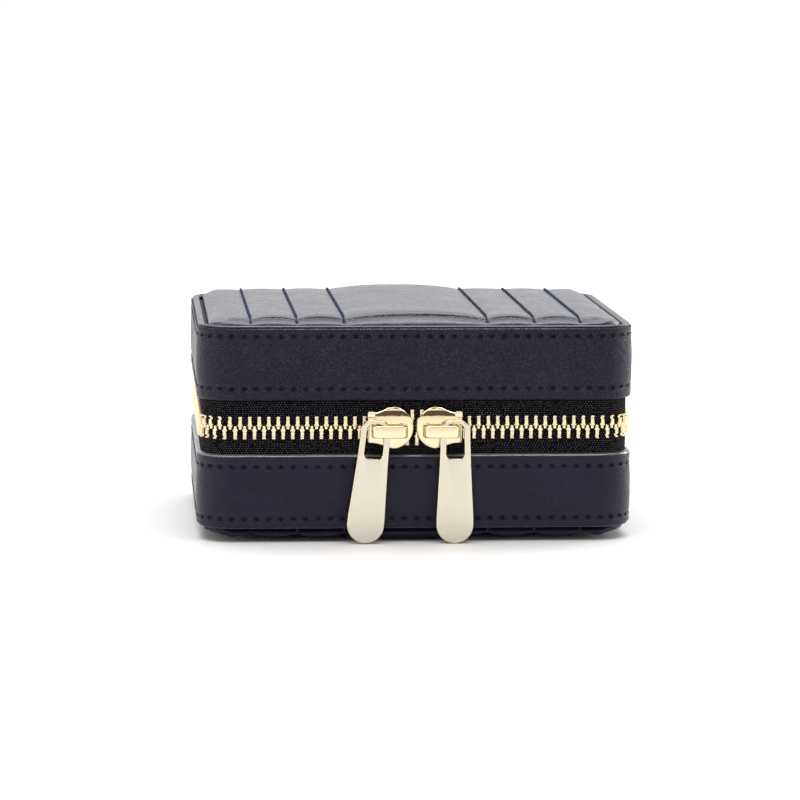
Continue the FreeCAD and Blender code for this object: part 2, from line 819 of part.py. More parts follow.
for source, label in (
    (band, "lid_side_band"), (cover, "lid_panel"), (cover_thread, "lid_panel_stitches"),
    (rim_thread, "lid_rim_stitches"), (zip_thread, "lid_zip_stitches"),
    (tray, "lid_frame"), (lining, "lid_liner"), (tape, "lid_zip_tape"), (stops, "lid_zip_stops"),
):
    nodes.append(lid_copy(source, label))
nodes += [zip_teeth("lid_zip_teeth", size("tooth_pitch") / 2, -1)]
nodes += [mirror_plate("mirror_backing", MIRROR_BACK, LID_CEILING)]
nodes += [mirror_plate("mirror_glass", MIRROR_FACE, MIRROR_BACK), mirror_surround()]

nodes += [right_slider, right_bridge]
for source, label in ((right_slider, "left_slider"), (right_bridge, "left_slider_bridge")):
    nodes.append(mirrored(source, label, Vector(1, 0, 0), "Base.x", "slider_meeting"))
nodes += [pull("left_pull", "-", "left_pull_tilt"), pull("right_pull", "+", "right_pull_tilt")]
document.recompute()

for item in document.Objects:
    if "Invalid" in item.State or "Error" in item.State:
        raise RuntimeError(f"{item.Label} failed: {item.State}")
for node in nodes:
    if node.Shape.isNull() or not node.Shape.isValid() or node.Shape.Volume < NEAR:
        raise RuntimeError(f"{node.Label} has no valid shape")

os.makedirs("parts", exist_ok=True)
for node in nodes:
    node.Shape.exportStep(f"parts/{node.Label}.step")
    print(f"{node.Label}: {len(node.Shape.Solids)} solids, {node.Shape.Volume:.1f} mm3")
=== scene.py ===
"""The looks of the leather jewellery case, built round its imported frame.

Shapes are worked out in millimetres and turned into metres where each mesh is made.
"""

import json
import math

import bmesh
import bpy
import numpy as np
from mathutils import Matrix, Vector


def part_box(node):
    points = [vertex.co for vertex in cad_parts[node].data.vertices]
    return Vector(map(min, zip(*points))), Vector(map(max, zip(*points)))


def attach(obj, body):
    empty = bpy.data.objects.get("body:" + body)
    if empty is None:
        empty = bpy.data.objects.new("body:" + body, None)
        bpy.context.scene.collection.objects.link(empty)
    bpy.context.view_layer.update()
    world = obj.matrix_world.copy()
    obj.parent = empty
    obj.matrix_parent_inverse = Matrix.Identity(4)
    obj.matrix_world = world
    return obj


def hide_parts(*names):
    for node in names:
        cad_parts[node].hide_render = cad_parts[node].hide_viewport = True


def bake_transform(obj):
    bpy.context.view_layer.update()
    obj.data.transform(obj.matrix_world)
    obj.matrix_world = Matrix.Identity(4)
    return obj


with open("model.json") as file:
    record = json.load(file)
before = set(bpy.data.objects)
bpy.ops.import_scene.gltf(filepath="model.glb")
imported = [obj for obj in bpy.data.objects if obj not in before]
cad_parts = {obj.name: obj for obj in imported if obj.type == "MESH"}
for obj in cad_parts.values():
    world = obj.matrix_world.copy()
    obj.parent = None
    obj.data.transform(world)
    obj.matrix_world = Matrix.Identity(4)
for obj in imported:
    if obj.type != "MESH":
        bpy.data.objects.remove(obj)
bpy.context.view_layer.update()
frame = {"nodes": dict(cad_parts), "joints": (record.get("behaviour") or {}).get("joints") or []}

MM = 0.001


def box_mm(node):
    """Lowest and highest corner of a CAD node, in millimetres."""
    low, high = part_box(node)
    return np.array(low) / MM, np.array(high) / MM


# ---------------------------------------------------------------- sizes read from the frame

band_low, band_high = box_mm("base_side_band")
lid_band_low = box_mm("lid_side_band")[0]
tape_high = box_mm("base_zip_tape")[1]
lining_low, lining_high = box_mm("base_liner")
panel_low, panel_high = box_mm("base_panel")

# The case's outline. Heights named here count from the middle of the zip's chain, which is at LEVEL.
HALF_X, HALF_Y = band_high[0], band_high[1]
CORNER = 10.0
LEVEL = (band_high[2] + lid_band_low[2]) / 2
EDGE = LEVEL - band_high[2]
RIM = LEVEL - band_low[2]
CREST = LEVEL - panel_low[2] - 0.08

# How far each layer lies inside the outline.
TAPE_THICK = 0.6
TAPE_INSET = HALF_X - tape_high[0]
CHAIN_INSET = TAPE_INSET + TAPE_THICK / 2
LINING_INSET = HALF_X - lining_high[0]
PANEL_INSET = HALF_X - panel_high[0]

# The bands: two rows of stitches, and the cut edge of the outer leather under the rim.
STITCH_PITCH = 3.2
ROW_RIM = RIM - 2.7
ROW_ZIP = EDGE + 3.1
RAW_EDGE = RIM - 0.85

# The panels: their stitched lines from the middle outwards, and the heights of the lines and of the pads.
QUILT_LINES = (18.7, 31.0, 43.0)
SEWN_HEIGHTS = (27.95, 27.95, 27.85, 27.7, 27.2)
PAD_CRESTS = (28.1, 28.4, 28.5, 29.9, 28.5, 28.4, 28.1)

# The zip: where its chain and its stops end at the back, and where its sliders meet at the front.
TOOTH_PITCH = 2.48
CHAIN_END = 40.5
STOP_PLACE = 38.7
MEETING = (box_mm("left_slider")[1][0] + box_mm("right_slider")[0][0]) / 2
NOSE_GAP = 0.35

random = np.random.default_rng(7)


# ---------------------------------------------------------------- mesh helpers


def new_piece(name, points, faces, material, uv=None):
    """A smooth mesh object from points in millimetres."""
    mesh = bpy.data.meshes.new(name)
    mesh.from_pydata((np.asarray(points, float) * MM).tolist(), [], [list(map(int, face)) for face in faces])
    if uv is not None:
        layer = mesh.uv_layers.new(name="along")
        corners = np.empty(len(mesh.loops), int)
        mesh.loops.foreach_get("vertex_index", corners)
        layer.data.foreach_set("uv", np.asarray(uv, float)[corners].ravel())
    mesh.validate()
    mesh.update()
    mesh.shade_smooth()
    mesh.materials.append(material)
    piece = bpy.data.objects.new(name, mesh)
    bpy.context.scene.collection.objects.link(piece)
    return piece


def rework(mesh, change=None):
    """Change a mesh as a bmesh, and make every face of it point outwards."""
    work = bmesh.new()
    work.from_mesh(mesh)
    if change is not None:
        change(work)
    bmesh.ops.recalc_face_normals(work, faces=work.faces)
    work.to_mesh(mesh)
    work.free()


def closed_piece(name, points, faces, material, uv=None, sharp=None):
    """A closed mesh object, with hard edges where faces meet at more than sharp degrees."""
    piece = new_piece(name, points, faces, material, uv)
    rework(piece.data)
    if sharp is not None:
        piece.data.set_sharp_from_angle(angle=math.radians(sharp))
    return piece


def dress(piece, body, node):
    """Put a piece on the body that carries it, and hide the CAD node that it stands for."""
    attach(piece, body)
    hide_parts(node)


def grid_faces(rows, columns, closed_rows=False, closed_columns=False):
    """Faces over rows of points, which may close on themselves either way."""
    faces = []
    for i in range(rows if closed_rows else rows - 1):
        for j in range(columns if closed_columns else columns - 1):
            i2, j2 = (i + 1) % rows, (j + 1) % columns
            faces.append((i * columns + j, i2 * columns + j, i2 * columns + j2, i * columns + j2))
    return faces


def tube_faces(rings, count):
    """Faces of a tube of rings, with a flat face at both ends."""
    last = (rings - 1) * count
    ends = [list(range(count)), [last + j for j in reversed(range(count))]]
    return grid_faces(rings, count, closed_columns=True) + ends


def pointed_faces(rings, count):
    """Faces of a tube whose ends close on the two points that follow the rings'."""
    first, last, start = rings * count, rings * count + 1, (rings - 1) * count
    faces = grid_faces(rings, count, closed_columns=True)
    faces += [(first, j, (j + 1) % count) for j in range(count)]
    return faces + [(last, start + (j + 1) % count, start + j) for j in range(count)]


def border_of(rows, columns):
    """Indices of the points round the border of a grid."""
    places = [(i, 0) for i in range(rows)] + [(rows - 1, j) for j in range(1, columns)]
    places += [(i, columns - 1) for i in reversed(range(rows - 1))]
    places += [(0, j) for j in reversed(range(1, columns - 1))]
    return [i * columns + j for i, j in places]


def ripple(x, y, wavelength, seed, waves=7):
    """Smooth, repeatable unevenness between about -1 and 1."""
    draw = np.random.default_rng(seed)
    total = np.zeros_like(np.asarray(x, float) + np.asarray(y, float))
    for _ in range(waves):
        turn, phase = draw.uniform(0, math.pi), draw.uniform(0, 2 * math.pi)
        count = 2 * math.pi / (wavelength * draw.uniform(0.6, 1.7))
        total += np.sin(count * (x * math.cos(turn) + y * math.sin(turn)) + phase)
    return total / waves * 1.6


def spline(points, step, closed=False):
    """Points every step or so along a Catmull-Rom curve through the given points."""
    points = np.asarray(points, float)
    count = len(points)
    spans = count if closed else count - 1
    out = []
    for i in range(spans):
        if closed:
            a, b, c, d = (points[(i + k) % count] for k in (-1, 0, 1, 2))
        else:
            a, b = points[max(i - 1, 0)], points[i]
            c, d = points[i + 1], points[min(i + 2, count - 1)]
        pieces = max(1, int(round(np.linalg.norm(c - b) / step)))
        for t in np.arange(pieces) / pieces:
            out.append(0.5 * (2 * b + (c - a) * t + (2 * a - 5 * b + 4 * c - d) * t ** 2
                              + (3 * b - a - 3 * c + d) * t ** 3))
    if not closed:
        out.append(points[-1])
    return np.array(out)


class Wall:
    """The rounded outline of the case: place and outward direction at a distance from the front's middle."""

    def __init__(self, half_x=HALF_X, half_y=HALF_Y, corner=CORNER):
        self.half_x, self.half_y, self.corner = half_x, half_y, corner
        arc = corner * math.pi / 2
        self.legs = [half_x - corner, arc, 2 * (half_y - corner), arc, half_x - corner]
        self.half_round = sum(self.legs)

    def at(self, distance, inset=0.0):
        """Rows of x, y, outward x, outward y."""
        distance = np.atleast_1d(np.asarray(distance, float))
        sign = np.where(distance < 0, -1.0, 1.0)
        left = np.abs(distance)
        front, arc, side = self.legs[:3]
        turn = np.clip((left - front) / arc, 0, 1) + np.clip((left - front - arc - side) / arc, 0, 1)
        angle = turn * math.pi / 2
        x = np.minimum(left, front) - np.maximum(left - front - 2 * arc - side, 0)
        y = self.corner - self.half_y + np.clip(left - front - arc, 0, side)
        nx, ny = np.sin(angle), -np.cos(angle)
        x, y = x + (self.corner - inset) * nx, y + (self.corner - inset) * ny
        return np.stack([x * sign, y, nx * sign, ny], axis=1)


wall = Wall()


def sweep(name, path, distances, profile, material, closed_path, closed_profile=True, shift=None):
    """Carry a profile of (inset, height) pairs round a wall.

    shift(distance, inset, height) may return changes to the inset and the height.
    """
    distances, profile = np.asarray(distances, float), np.asarray(profile, float)
    rows, columns = len(distances), len(profile)
    base = path.at(distances)
    inset = np.tile(profile[:, 0], (rows, 1))
    height = np.tile(profile[:, 1], (rows, 1))
    along = np.tile(distances[:, None], (1, columns))
    if shift is not None:
        more_inset, more_height = shift(along, inset, height)
        inset, height = inset + more_inset, height + more_height
    x = base[:, 0:1] - inset * base[:, 2:3]
    y = base[:, 1:2] - inset * base[:, 3:4]
    points = np.stack([x, y, height], axis=2).reshape(-1, 3)
    if closed_profile and not closed_path:
        faces = tube_faces(rows, columns)
    else:
        faces = grid_faces(rows, columns, closed_path, closed_profile)
    lengths = np.concatenate([[0], np.cumsum(np.hypot(*np.diff(profile, axis=0).T))])
    uv = np.stack([along * MM, np.tile(lengths, (rows, 1)) * MM], axis=2).reshape(-1, 2)
    return closed_piece(name, points, faces, material, uv)


def join_shapes(shapes):
    """One list of points and faces from several."""
    points, faces, start = [], [], 0
    for shape_points, shape_faces in shapes:
        points.append(shape_points)
        faces += [[index + start for index in face] for face in shape_faces]
        start += len(shape_points)
    return np.concatenate(points), faces


def as_bmesh(points, faces):
    """A bmesh from points and faces."""
    work = bmesh.new()
    vertices = [work.verts.new(point) for point in points]
    for face in faces:
        work.faces.new([vertices[i] for i in face])
    return work


def read_back(work):
    """Points and faces of a bmesh, which is then freed."""
    work.verts.index_update()
    points = np.array([vertex.co[:] for vertex in work.verts])
    faces = [[vertex.index for vertex in face.verts] for face in work.faces]
    work.free()
    return points, faces


def rounded_block(low, high, radius, segments=2):
    """Points and faces of a box with rounded edges."""
    work = bmesh.new()
    bmesh.ops.create_cube(work, size=1.0)
    for vertex in work.verts:
        for k in range(3):
            vertex.co[k] = low[k] if vertex.co[k] < 0 else high[k]
    bmesh.ops.bevel(work, geom=work.edges[:], offset=radius, segments=segments, profile=0.5, affect="EDGES")
    return read_back(work)


def on_wall(points, distance, inset, height):
    """Points made at the origin facing the front, put at a place on the wall and turned to face outwards."""
    x, y, nx, ny = wall.at(distance, inset)[0]
    turn = math.atan2(nx, -ny)
    c, s = math.cos(turn), math.sin(turn)
    across, deep, tall = points.T
    return np.stack([across * c - deep * s + x, across * s + deep * c + y, tall + height], axis=1)


# ---------------------------------------------------------------- materials


class Nodes:
    """Short ways of adding shader nodes to a tree."""

    def __init__(self, tree):
        self.nodes, self.links = tree.nodes, tree.links

    def feed(self, socket, value):
        """Link a socket to another, or set its value."""
        if isinstance(value, bpy.types.NodeSocket):
            self.links.new(value, socket)
        else:
            socket.default_value = value

    def add(self, kind, settings=None, **inputs):
        """A new node with its settings and inputs."""
        node = self.nodes.new(kind)
        for key, value in (settings or {}).items():
            setattr(node, key, value)
        for key, value in inputs.items():
            self.feed(node.inputs[key], value)
        return node

    def place(self, scale=(1, 1, 1)):
        """Coordinates in the piece's own space, stretched by a scale."""
        coordinates = self.add("ShaderNodeTexCoord").outputs["Object"]
        return self.add("ShaderNodeMapping", Vector=coordinates, Scale=scale).outputs["Vector"]

    def split(self, vector):
        """The three parts of a vector."""
        return self.add("ShaderNodeSeparateXYZ", Vector=vector).outputs

    def noise(self, where, scale, detail=3.0, roughness=0.5):
        node = self.add("ShaderNodeTexNoise", Vector=where, Scale=scale, Detail=detail, Roughness=roughness)
        return node.outputs["Fac"]

    def spread(self, value, low, high, low_to=0.0, high_to=1.0, curve="LINEAR"):
        """Carry a value from one range to another."""
        node = self.add("ShaderNodeMapRange", {"interpolation_type": curve})
        for socket, amount in zip(node.inputs[:5], (value, low, high, low_to, high_to)):
            self.feed(socket, amount)
        return node.outputs[0]

    def math(self, operation, *values):
        node = self.add("ShaderNodeMath", {"operation": operation})
        for socket, value in zip(node.inputs, values):
            self.feed(socket, value)
        return node.outputs[0]

    def mix(self, factor, color_a, color_b):
        node = self.add("ShaderNodeMix", {"data_type": "RGBA"}, Factor=factor)
        for socket, color in ((node.inputs[6], color_a), (node.inputs[7], color_b)):
            self.feed(socket, color if isinstance(color, bpy.types.NodeSocket) else (*color, 1.0))
        return node.outputs[2]

    def bump(self, height, distance, strength=1.0, normal=None):
        node = self.add("ShaderNodeBump", Height=height, Distance=distance, Strength=strength)
        if normal is not None:
            self.feed(node.inputs["Normal"], normal)
        return node.outputs["Normal"]


class Shader(Nodes):
    """A material with one principled shader."""

    def __init__(self, name, color, roughness, **values):
        self.material = bpy.data.materials.new(name)
        self.material.use_nodes = True
        super().__init__(self.material.node_tree)
        self.inputs = self.nodes["Principled BSDF"].inputs
        self.feed(self.inputs["Base Color"], (*color, 1.0))
        self.feed(self.inputs["Roughness"], roughness)
        for socket, value in values.items():
            self.feed(self.inputs[socket.replace("_", " ")], value)

    def finish(self, color=None, roughness=None, normal=None):
        """The material, with these links into its shader."""
        for socket, value in (("Base Color", color), ("Roughness", roughness), ("Normal", normal)):
            if value is not None:
                self.feed(self.inputs[socket], value)
        return self.material


def leather_material(name, dark, light, roughness, shine, grain_depth, painted_glint_amount):
    """Smooth dyed leather: fine pebbled grain, faint pores, uneven dye and sheen, and pale flecks painted in
    as glints on the grain.
    """
    shader = Shader(name, dark, roughness, Specular_IOR_Level=shine)
    where = shader.place()
    cells = shader.add(
        "ShaderNodeTexVoronoi", {"feature": "DISTANCE_TO_EDGE"}, Vector=where, Scale=1500.0, Randomness=1.0)
    grain = shader.spread(cells.outputs["Distance"], 0.0, 0.16)
    fine = shader.noise(where, 3800.0, 2.0)
    broad = shader.noise(where, 60.0, 4.0, 0.6)
    middle = shader.noise(where, 420.0, 3.0)
    normal = shader.bump(middle, 0.00010, 0.35)
    normal = shader.bump(grain, grain_depth, 0.8, normal)
    normal = shader.bump(fine, 0.000010, 0.35, normal)
    color = shader.mix(shader.spread(broad, 0.3, 0.75), dark, light)
    # Pale flecks in the colour are painted glints, standing in for light caught on the grain's tops.
    painted_glint_noise = shader.noise(where, 2500.0, 2.0, 0.7)
    color = shader.mix(shader.spread(painted_glint_noise, 0.50, 0.72, 0.0, painted_glint_amount), color, (0.036, 0.035, 0.054))
    gloss = shader.spread(shader.math("ADD", broad, middle), 0.7, 1.3, roughness - 0.05, roughness + 0.07)
    return shader.finish(color, gloss, normal)


def thread_material(name, dark, light):
    """Navy polyester thread with its twist."""
    shader = Shader(name, dark, 0.7, Specular_IOR_Level=0.12)
    where = shader.place()
    fuzz = shader.noise(where, 9000.0, 2.0)
    tint = shader.noise(where, 1100.0, 2.0)
    color = shader.mix(shader.spread(tint, 0.35, 0.65), dark, light)
    return shader.finish(color, normal=shader.bump(fuzz, 0.00004, 0.5))


def tape_material():
    """Black herringbone tape: slanting floats that change direction from column to column, with painted
    light and shade over the weave and painted glints on its crowns.
    """
    shader = Shader("black_tape", (0.002, 0.002, 0.0025), 0.75, Specular_IOR_Level=0.06)
    along, across, _ = shader.split(shader.add("ShaderNodeTexCoord").outputs["UV"])
    column, float_pitch, row_pitch = 0.0013, 0.00074, 0.00056
    zigzag = shader.math("PINGPONG", across, column)
    slant = shader.math("ADD", along, shader.math("MULTIPLY", zigzag, 0.8))
    floats = shader.math("SINE", shader.math("MULTIPLY", slant, 2 * math.pi / float_pitch))
    rows = shader.math("SINE", shader.math("MULTIPLY", across, 2 * math.pi / row_pitch))
    weave = shader.math("ADD", shader.math("MULTIPLY", floats, 0.55), shader.math("MULTIPLY", rows, 0.45))
    where = shader.place()
    uneven = shader.noise(where, 1500.0, 3.0)
    height = shader.math("ADD", weave, shader.math("MULTIPLY", uneven, 0.8))
    # The floats' tops are painted lighter and their hollows darker: painted light and shade.
    lit = shader.spread(weave, -0.6, 0.5)
    color = shader.mix(lit, (0.0006, 0.0006, 0.0010), (0.0035, 0.0028, 0.0050))
    # Pale specks on the crowns are painted glints.
    glinting_crowns = shader.spread(weave, 0.62, 0.92)
    patches = shader.spread(uneven, 0.38, 0.56)
    color = shader.mix(shader.math("MULTIPLY", glinting_crowns, patches), color, (0.20, 0.185, 0.21))
    return shader.finish(color, normal=shader.bump(height, 0.00014, 0.9))


def gold_material(name, color, roughness, brush=(1, 1, 1), scratch=0.3):
    """Pale gold plating, with fine lines drawn out along the direction of small scale."""
    shader = Shader(name, color, roughness, Metallic=1.0)
    lines = shader.noise(shader.place(brush), 900.0, 4.0, 0.6)
    where = shader.place()
    smudge = shader.noise(where, 160.0, 3.0)
    orange_peel = shader.noise(where, 700.0, 2.0)
    gloss = shader.spread(shader.math("ADD", lines, smudge), 0.6, 1.4, roughness * 0.85, roughness * 1.2)
    normal = shader.bump(orange_peel, 0.00003, 0.03)
    normal = shader.bump(lines, 0.00002, scratch, normal)
    tint = shader.mix(smudge, color, tuple(channel * 0.93 for channel in color))
    return shader.finish(tint, gloss, normal)


def velvet_material(name, dark, light):
    """Short-pile velvet with brushed patches."""
    shader = Shader(name, dark, 0.9, Sheen_Weight=0.8, Sheen_Roughness=0.35)
    where = shader.place()
    pile = shader.noise(where, 5200.0, 3.0, 0.7)
    nap = shader.noise(where, 110.0, 4.0, 0.65)
    color = shader.mix(shader.spread(nap, 0.32, 0.68), dark, light)
    color = shader.mix(shader.spread(pile, 0.3, 0.7, 0.25, 0.0), color, tuple(c * 0.45 for c in dark))
    return shader.finish(color, normal=shader.bump(pile, 0.00012, 0.7))


def board_material():
    """Board wrapped in dark backing cloth, as seen at the rims between lining and zip."""
    shader = Shader("wrapped_board", (0.012, 0.014, 0.022), 0.8)
    where = shader.place()
    weave = shader.add("ShaderNodeTexVoronoi", {"feature": "F1"}, Vector=where, Scale=2400.0)
    cloud = shader.noise(where, 120.0, 3.0)
    color = shader.mix(cloud, (0.010, 0.012, 0.019), (0.020, 0.023, 0.034))
    return shader.finish(color, normal=shader.bump(weave.outputs["Distance"], 0.00008, 0.5))


def mirror_material():
    """Silvered glass with a trace of unevenness."""
    shader = Shader("mirror", (0.90, 0.92, 0.93), 0.02, Metallic=1.0)
    haze = shader.noise(shader.place(), 40.0, 3.0)
    return shader.finish(roughness=shader.spread(haze, 0.3, 0.8, 0.008, 0.035))


def raw_leather_material():
    """The cut edge of the leather: pale and fibrous, fading to dark towards the corners."""
    shader = Shader("raw_leather_edge", (0.05, 0.055, 0.065), 0.8)
    where = shader.place()
    fibres = shader.noise(where, 2300.0, 3.0, 0.7)
    aside = shader.math("ABSOLUTE", shader.split(where)[0])
    kept = shader.spread(aside, 0.034, 0.047, 1.0, 0.0)
    pale = shader.math("MULTIPLY", shader.spread(fibres, 0.42, 0.60), kept)
    color = shader.mix(pale, (0.012, 0.013, 0.020), (0.40, 0.43, 0.45))
    return shader.finish(color, normal=shader.bump(fibres, 0.00015, 0.8))


raw_leather = raw_leather_material()
leather = leather_material(
    "navy_leather", (0.0050, 0.0046, 0.0165), (0.0088, 0.0082, 0.0245), 0.31, 0.22, 0.00006, 0.25)
# The lid band's leather: darker, with more grain and the full amount of painted glint flecks.
grainy_glinting_leather = leather_material(
    "navy_leather_grainy_painted_glints", (0.0030, 0.0026, 0.0120), (0.0062, 0.0056, 0.0185), 0.31, 0.20, 0.00009, 1.0)
panel_leather = leather_material(
    "navy_panel_leather", (0.0056, 0.0058, 0.0190), (0.0086, 0.0090, 0.0280), 0.26, 0.84, 0.00003, 0.1)
# A much paler copy of the leather: a painted highlight along the base band's upper fold, where light catches
# it.
edge_highlight_leather = leather_material(
    "navy_leather_painted_highlight", (0.050, 0.052, 0.060), (0.100, 0.103, 0.112), 0.22, 1.0, 0.00002, 0.1)
thread = thread_material("navy_thread", (0.005, 0.010, 0.026), (0.028, 0.050, 0.098))
# A darker copy of the same thread for the bands: painted shade on stitches sunk into their holes.
shaded_band_thread = thread_material("navy_thread_painted_shade", (0.0020, 0.0038, 0.0100), (0.0045, 0.0080, 0.0200))
tape_cloth = tape_material()
gold = gold_material("pale_gold", (0.84, 0.72, 0.49), 0.14, scratch=0.1)
pull_gold = gold_material("brushed_pale_gold", (0.69, 0.655, 0.55), 0.30, (0.12, 1.0, 2.2), scratch=0.02)
velvet = velvet_material("lining_velvet", (0.30, 0.255, 0.205), (0.40, 0.345, 0.285))
wrapped_board = board_material()
mirror_glass = mirror_material()


# ---------------------------------------------------------------- leather bands


def band_profile():
    """Closed section of the side band as (inset, distance from the chain's middle).

    The outer leather stops in a raw cut edge just below the rim; the lip above it is a second layer.
    """
    outer = [
        (0.95, EDGE + 0.02), (0.55, EDGE), (0.24, EDGE + 0.14), (0.06, EDGE + 0.48), (0.0, EDGE + 1.0),
        (0.0, EDGE + 2.0), (0.02, ROW_ZIP), (-0.04, ROW_ZIP + 2.0), (-0.14, ROW_ZIP + 5.0),
        (-0.16, (ROW_ZIP + ROW_RIM) / 2), (-0.14, ROW_RIM - 5.0), (-0.04, ROW_RIM - 2.0), (0.02, ROW_RIM),
        (0.0, RIM - 1.5), (0.02, RAW_EDGE - 0.1), (0.08, RAW_EDGE + 0.05), (0.30, RAW_EDGE + 0.10),
        (0.46, RAW_EDGE + 0.02), (0.52, RAW_EDGE - 0.1), (0.50, RAW_EDGE + 0.22), (0.52, RIM - 0.32),
    ]
    over_rim = [
        (0.66, RIM - 0.08), (1.0, RIM), (1.60, RIM - 0.03), (2.05, RIM - 0.2), (2.30, RIM - 0.62),
        (2.28, RIM - 1.05), (1.9, RIM - 1.28), (1.36, RIM - 1.3),
    ]
    inner = [(1.28, RIM - 2.2), (1.28, ROW_ZIP + 6.0), (1.28, EDGE + 0.6)]
    return spline(outer + over_rim + inner, 0.3, closed=True)


def row_dents(along, height_from_chain, inset, up):
    """Leather drawn in along the stitch rows and pierced between stitches, with a lip under each hole."""
    phase = np.clip(np.cos(2 * math.pi * along / stitch_step()), 0, 1)
    outside = np.clip((0.6 - inset) / 0.6, 0, 1)
    total = np.zeros_like(along)
    for row in (ROW_ZIP, ROW_RIM):
        near = (height_from_chain - row) * up
        total += 0.10 * np.exp(-(near / 1.15) ** 2) + 0.08 * np.exp(-(near / 0.40) ** 2)
        total += 0.72 * np.exp(-(near / 0.33) ** 2) * phase ** 6
        total -= 0.15 * np.exp(-((near + 0.66) / 0.26) ** 2) * phase ** 3
    return total * outside


def stitch_step():
    """Stitch pitch that divides the way round the case evenly."""
    around = 2 * wall.half_round
    return around / round(around / STITCH_PITCH)


def side_band(body, up):
    """One leather band; up is -1 for the base and 1 for the lid."""
    seed = 11 + up
    profile = band_profile()
    from_chain = profile[:, 1].copy()
    profile[:, 1] = LEVEL + up * from_chain
    step = stitch_step() / 10
    distances = np.arange(round(2 * wall.half_round / step)) * step - wall.half_round

    def shift(along, inset, height):
        below = np.abs(height - LEVEL)
        outside = np.clip((0.8 - inset) / 0.8, 0, 1)
        belly = 0.085 * ripple(along, below * 1.6, 21.0, seed)
        belly += 0.03 * ripple(along, below * 1.3, 6.0, seed + 1)
        middle = np.clip((below - EDGE) / 3.5, 0, 1) * np.clip((RIM - below) / 3.0, 0, 1)
        wave = 0.06 * ripple(along, 0 * below, 17.0, seed + 2)
        cut = np.exp(-((below - RAW_EDGE) / 0.22) ** 2) * np.clip((0.5 - inset) / 0.2, 0, 1)
        change = cut * 0.07 * ripple(along, below * 4, 0.9, seed + 3)
        change += row_dents(along, below, inset, up) - belly * middle * outside
        return change, up * wave * np.clip((EDGE + 3.0 - below) / 3.0, 0, 1)

    # The lid band takes the copy with the strongest painted glints.
    skin = grainy_glinting_leather if up > 0 else leather
    piece = sweep(body + "_leather_band", wall, distances, profile, skin, closed_path=True, shift=shift)
    for finish in (raw_leather, edge_highlight_leather, panel_leather):
        piece.data.materials.append(finish)
    raw = (np.abs(from_chain - RAW_EDGE - 0.03) < 0.12) & (profile[:, 0] < 0.5)
    # Only the base band's upper edge carries the painted highlight.
    painted_highlight = (from_chain < EDGE + 0.6) & (profile[:, 0] < 1.2) & (up < 0)
    lip = from_chain > RIM - 0.4
    finishes = np.select([raw, painted_highlight, lip], [1, 2, 3], 0)
    marks = []
    for face in piece.data.polygons:
        ends = [finishes[face.vertices[k] % len(profile)] for k in (0, 2)]
        marks.append(int(ends[0]) if ends[0] == ends[1] else 0)
    piece.data.polygons.foreach_set("material_index", marks)
    dress(piece, body, body + "_side_band")


def thread_stitch(length, proud, sink, thick, twist=12.0, strands=0.16):
    """A short twisted stitch along X, proud at its middle and diving in at both ends."""
    around, along = 8, 11
    points = []
    for i in range(along):
        t = i / (along - 1)
        lift = -sink + (proud + sink) * math.sin(math.pi * t) ** 0.55
        taper = thick * (1 - 0.45 * abs(2 * t - 1) ** 4)
        for j in range(around):
            angle = 2 * math.pi * j / around
            radius = taper * (1 + strands * math.cos(2 * angle + twist * t))
            points.append((length * (t - 0.5), -lift + radius * math.sin(angle), radius * math.cos(angle)))
    return np.array(points), tube_faces(along, around)


def band_stitches(body, up, label, row):
    """A row of stitches round a band, each a little out of line."""
    points, faces = thread_stitch(2.2, 0.0, 0.55, 0.21)
    step = stitch_step()
    count = round(2 * wall.half_round / step)
    shapes = []
    for i in range(count):
        place = (i + 0.5) * step - wall.half_round
        slant = 0.05 + 0.02 * random.standard_normal()
        shape = points.copy()
        shape[:, 2] += shape[:, 0] * slant * up + 0.04 * random.standard_normal()
        shapes.append((on_wall(shape, place, 0.12, LEVEL + up * row), faces))
    piece = closed_piece(f"{body}_{label}_thread", *join_shapes(shapes), shaded_band_thread)
    dress(piece, body, f"{body}_{label}_stitches")


# ---------------------------------------------------------------- quilted panels


def axis_lines(half, lines):
    """Grid positions from -half to half: close at the edges and exactly on the quilting lines."""
    stops = [0.35 - half, 4.5 - half, 5.7 - half, 7.0 - half]
    stops += [-place for place in stops] + [-half, half]
    stops += [s * line for line in lines for s in (-1, 1)]
    stops = sorted(set(stops))
    out = []
    for a, b in zip(stops[:-1], stops[1:]):
        from_edge = half - abs(a + b) / 2
        step = 0.16 if 4.5 < from_edge < 5.7 else 0.3 if from_edge < 7.0 else 0.85
        count = max(2, round((b - a) / step))
        out += list(a + (b - a) * np.arange(count) / count)
    out.append(half)
    return np.array(out)


def smooth_min(a, b, width):
    """The lower of two heights, blended over a width."""
    return (a + b - np.sqrt((a - b) ** 2 + width ** 2)) / 2


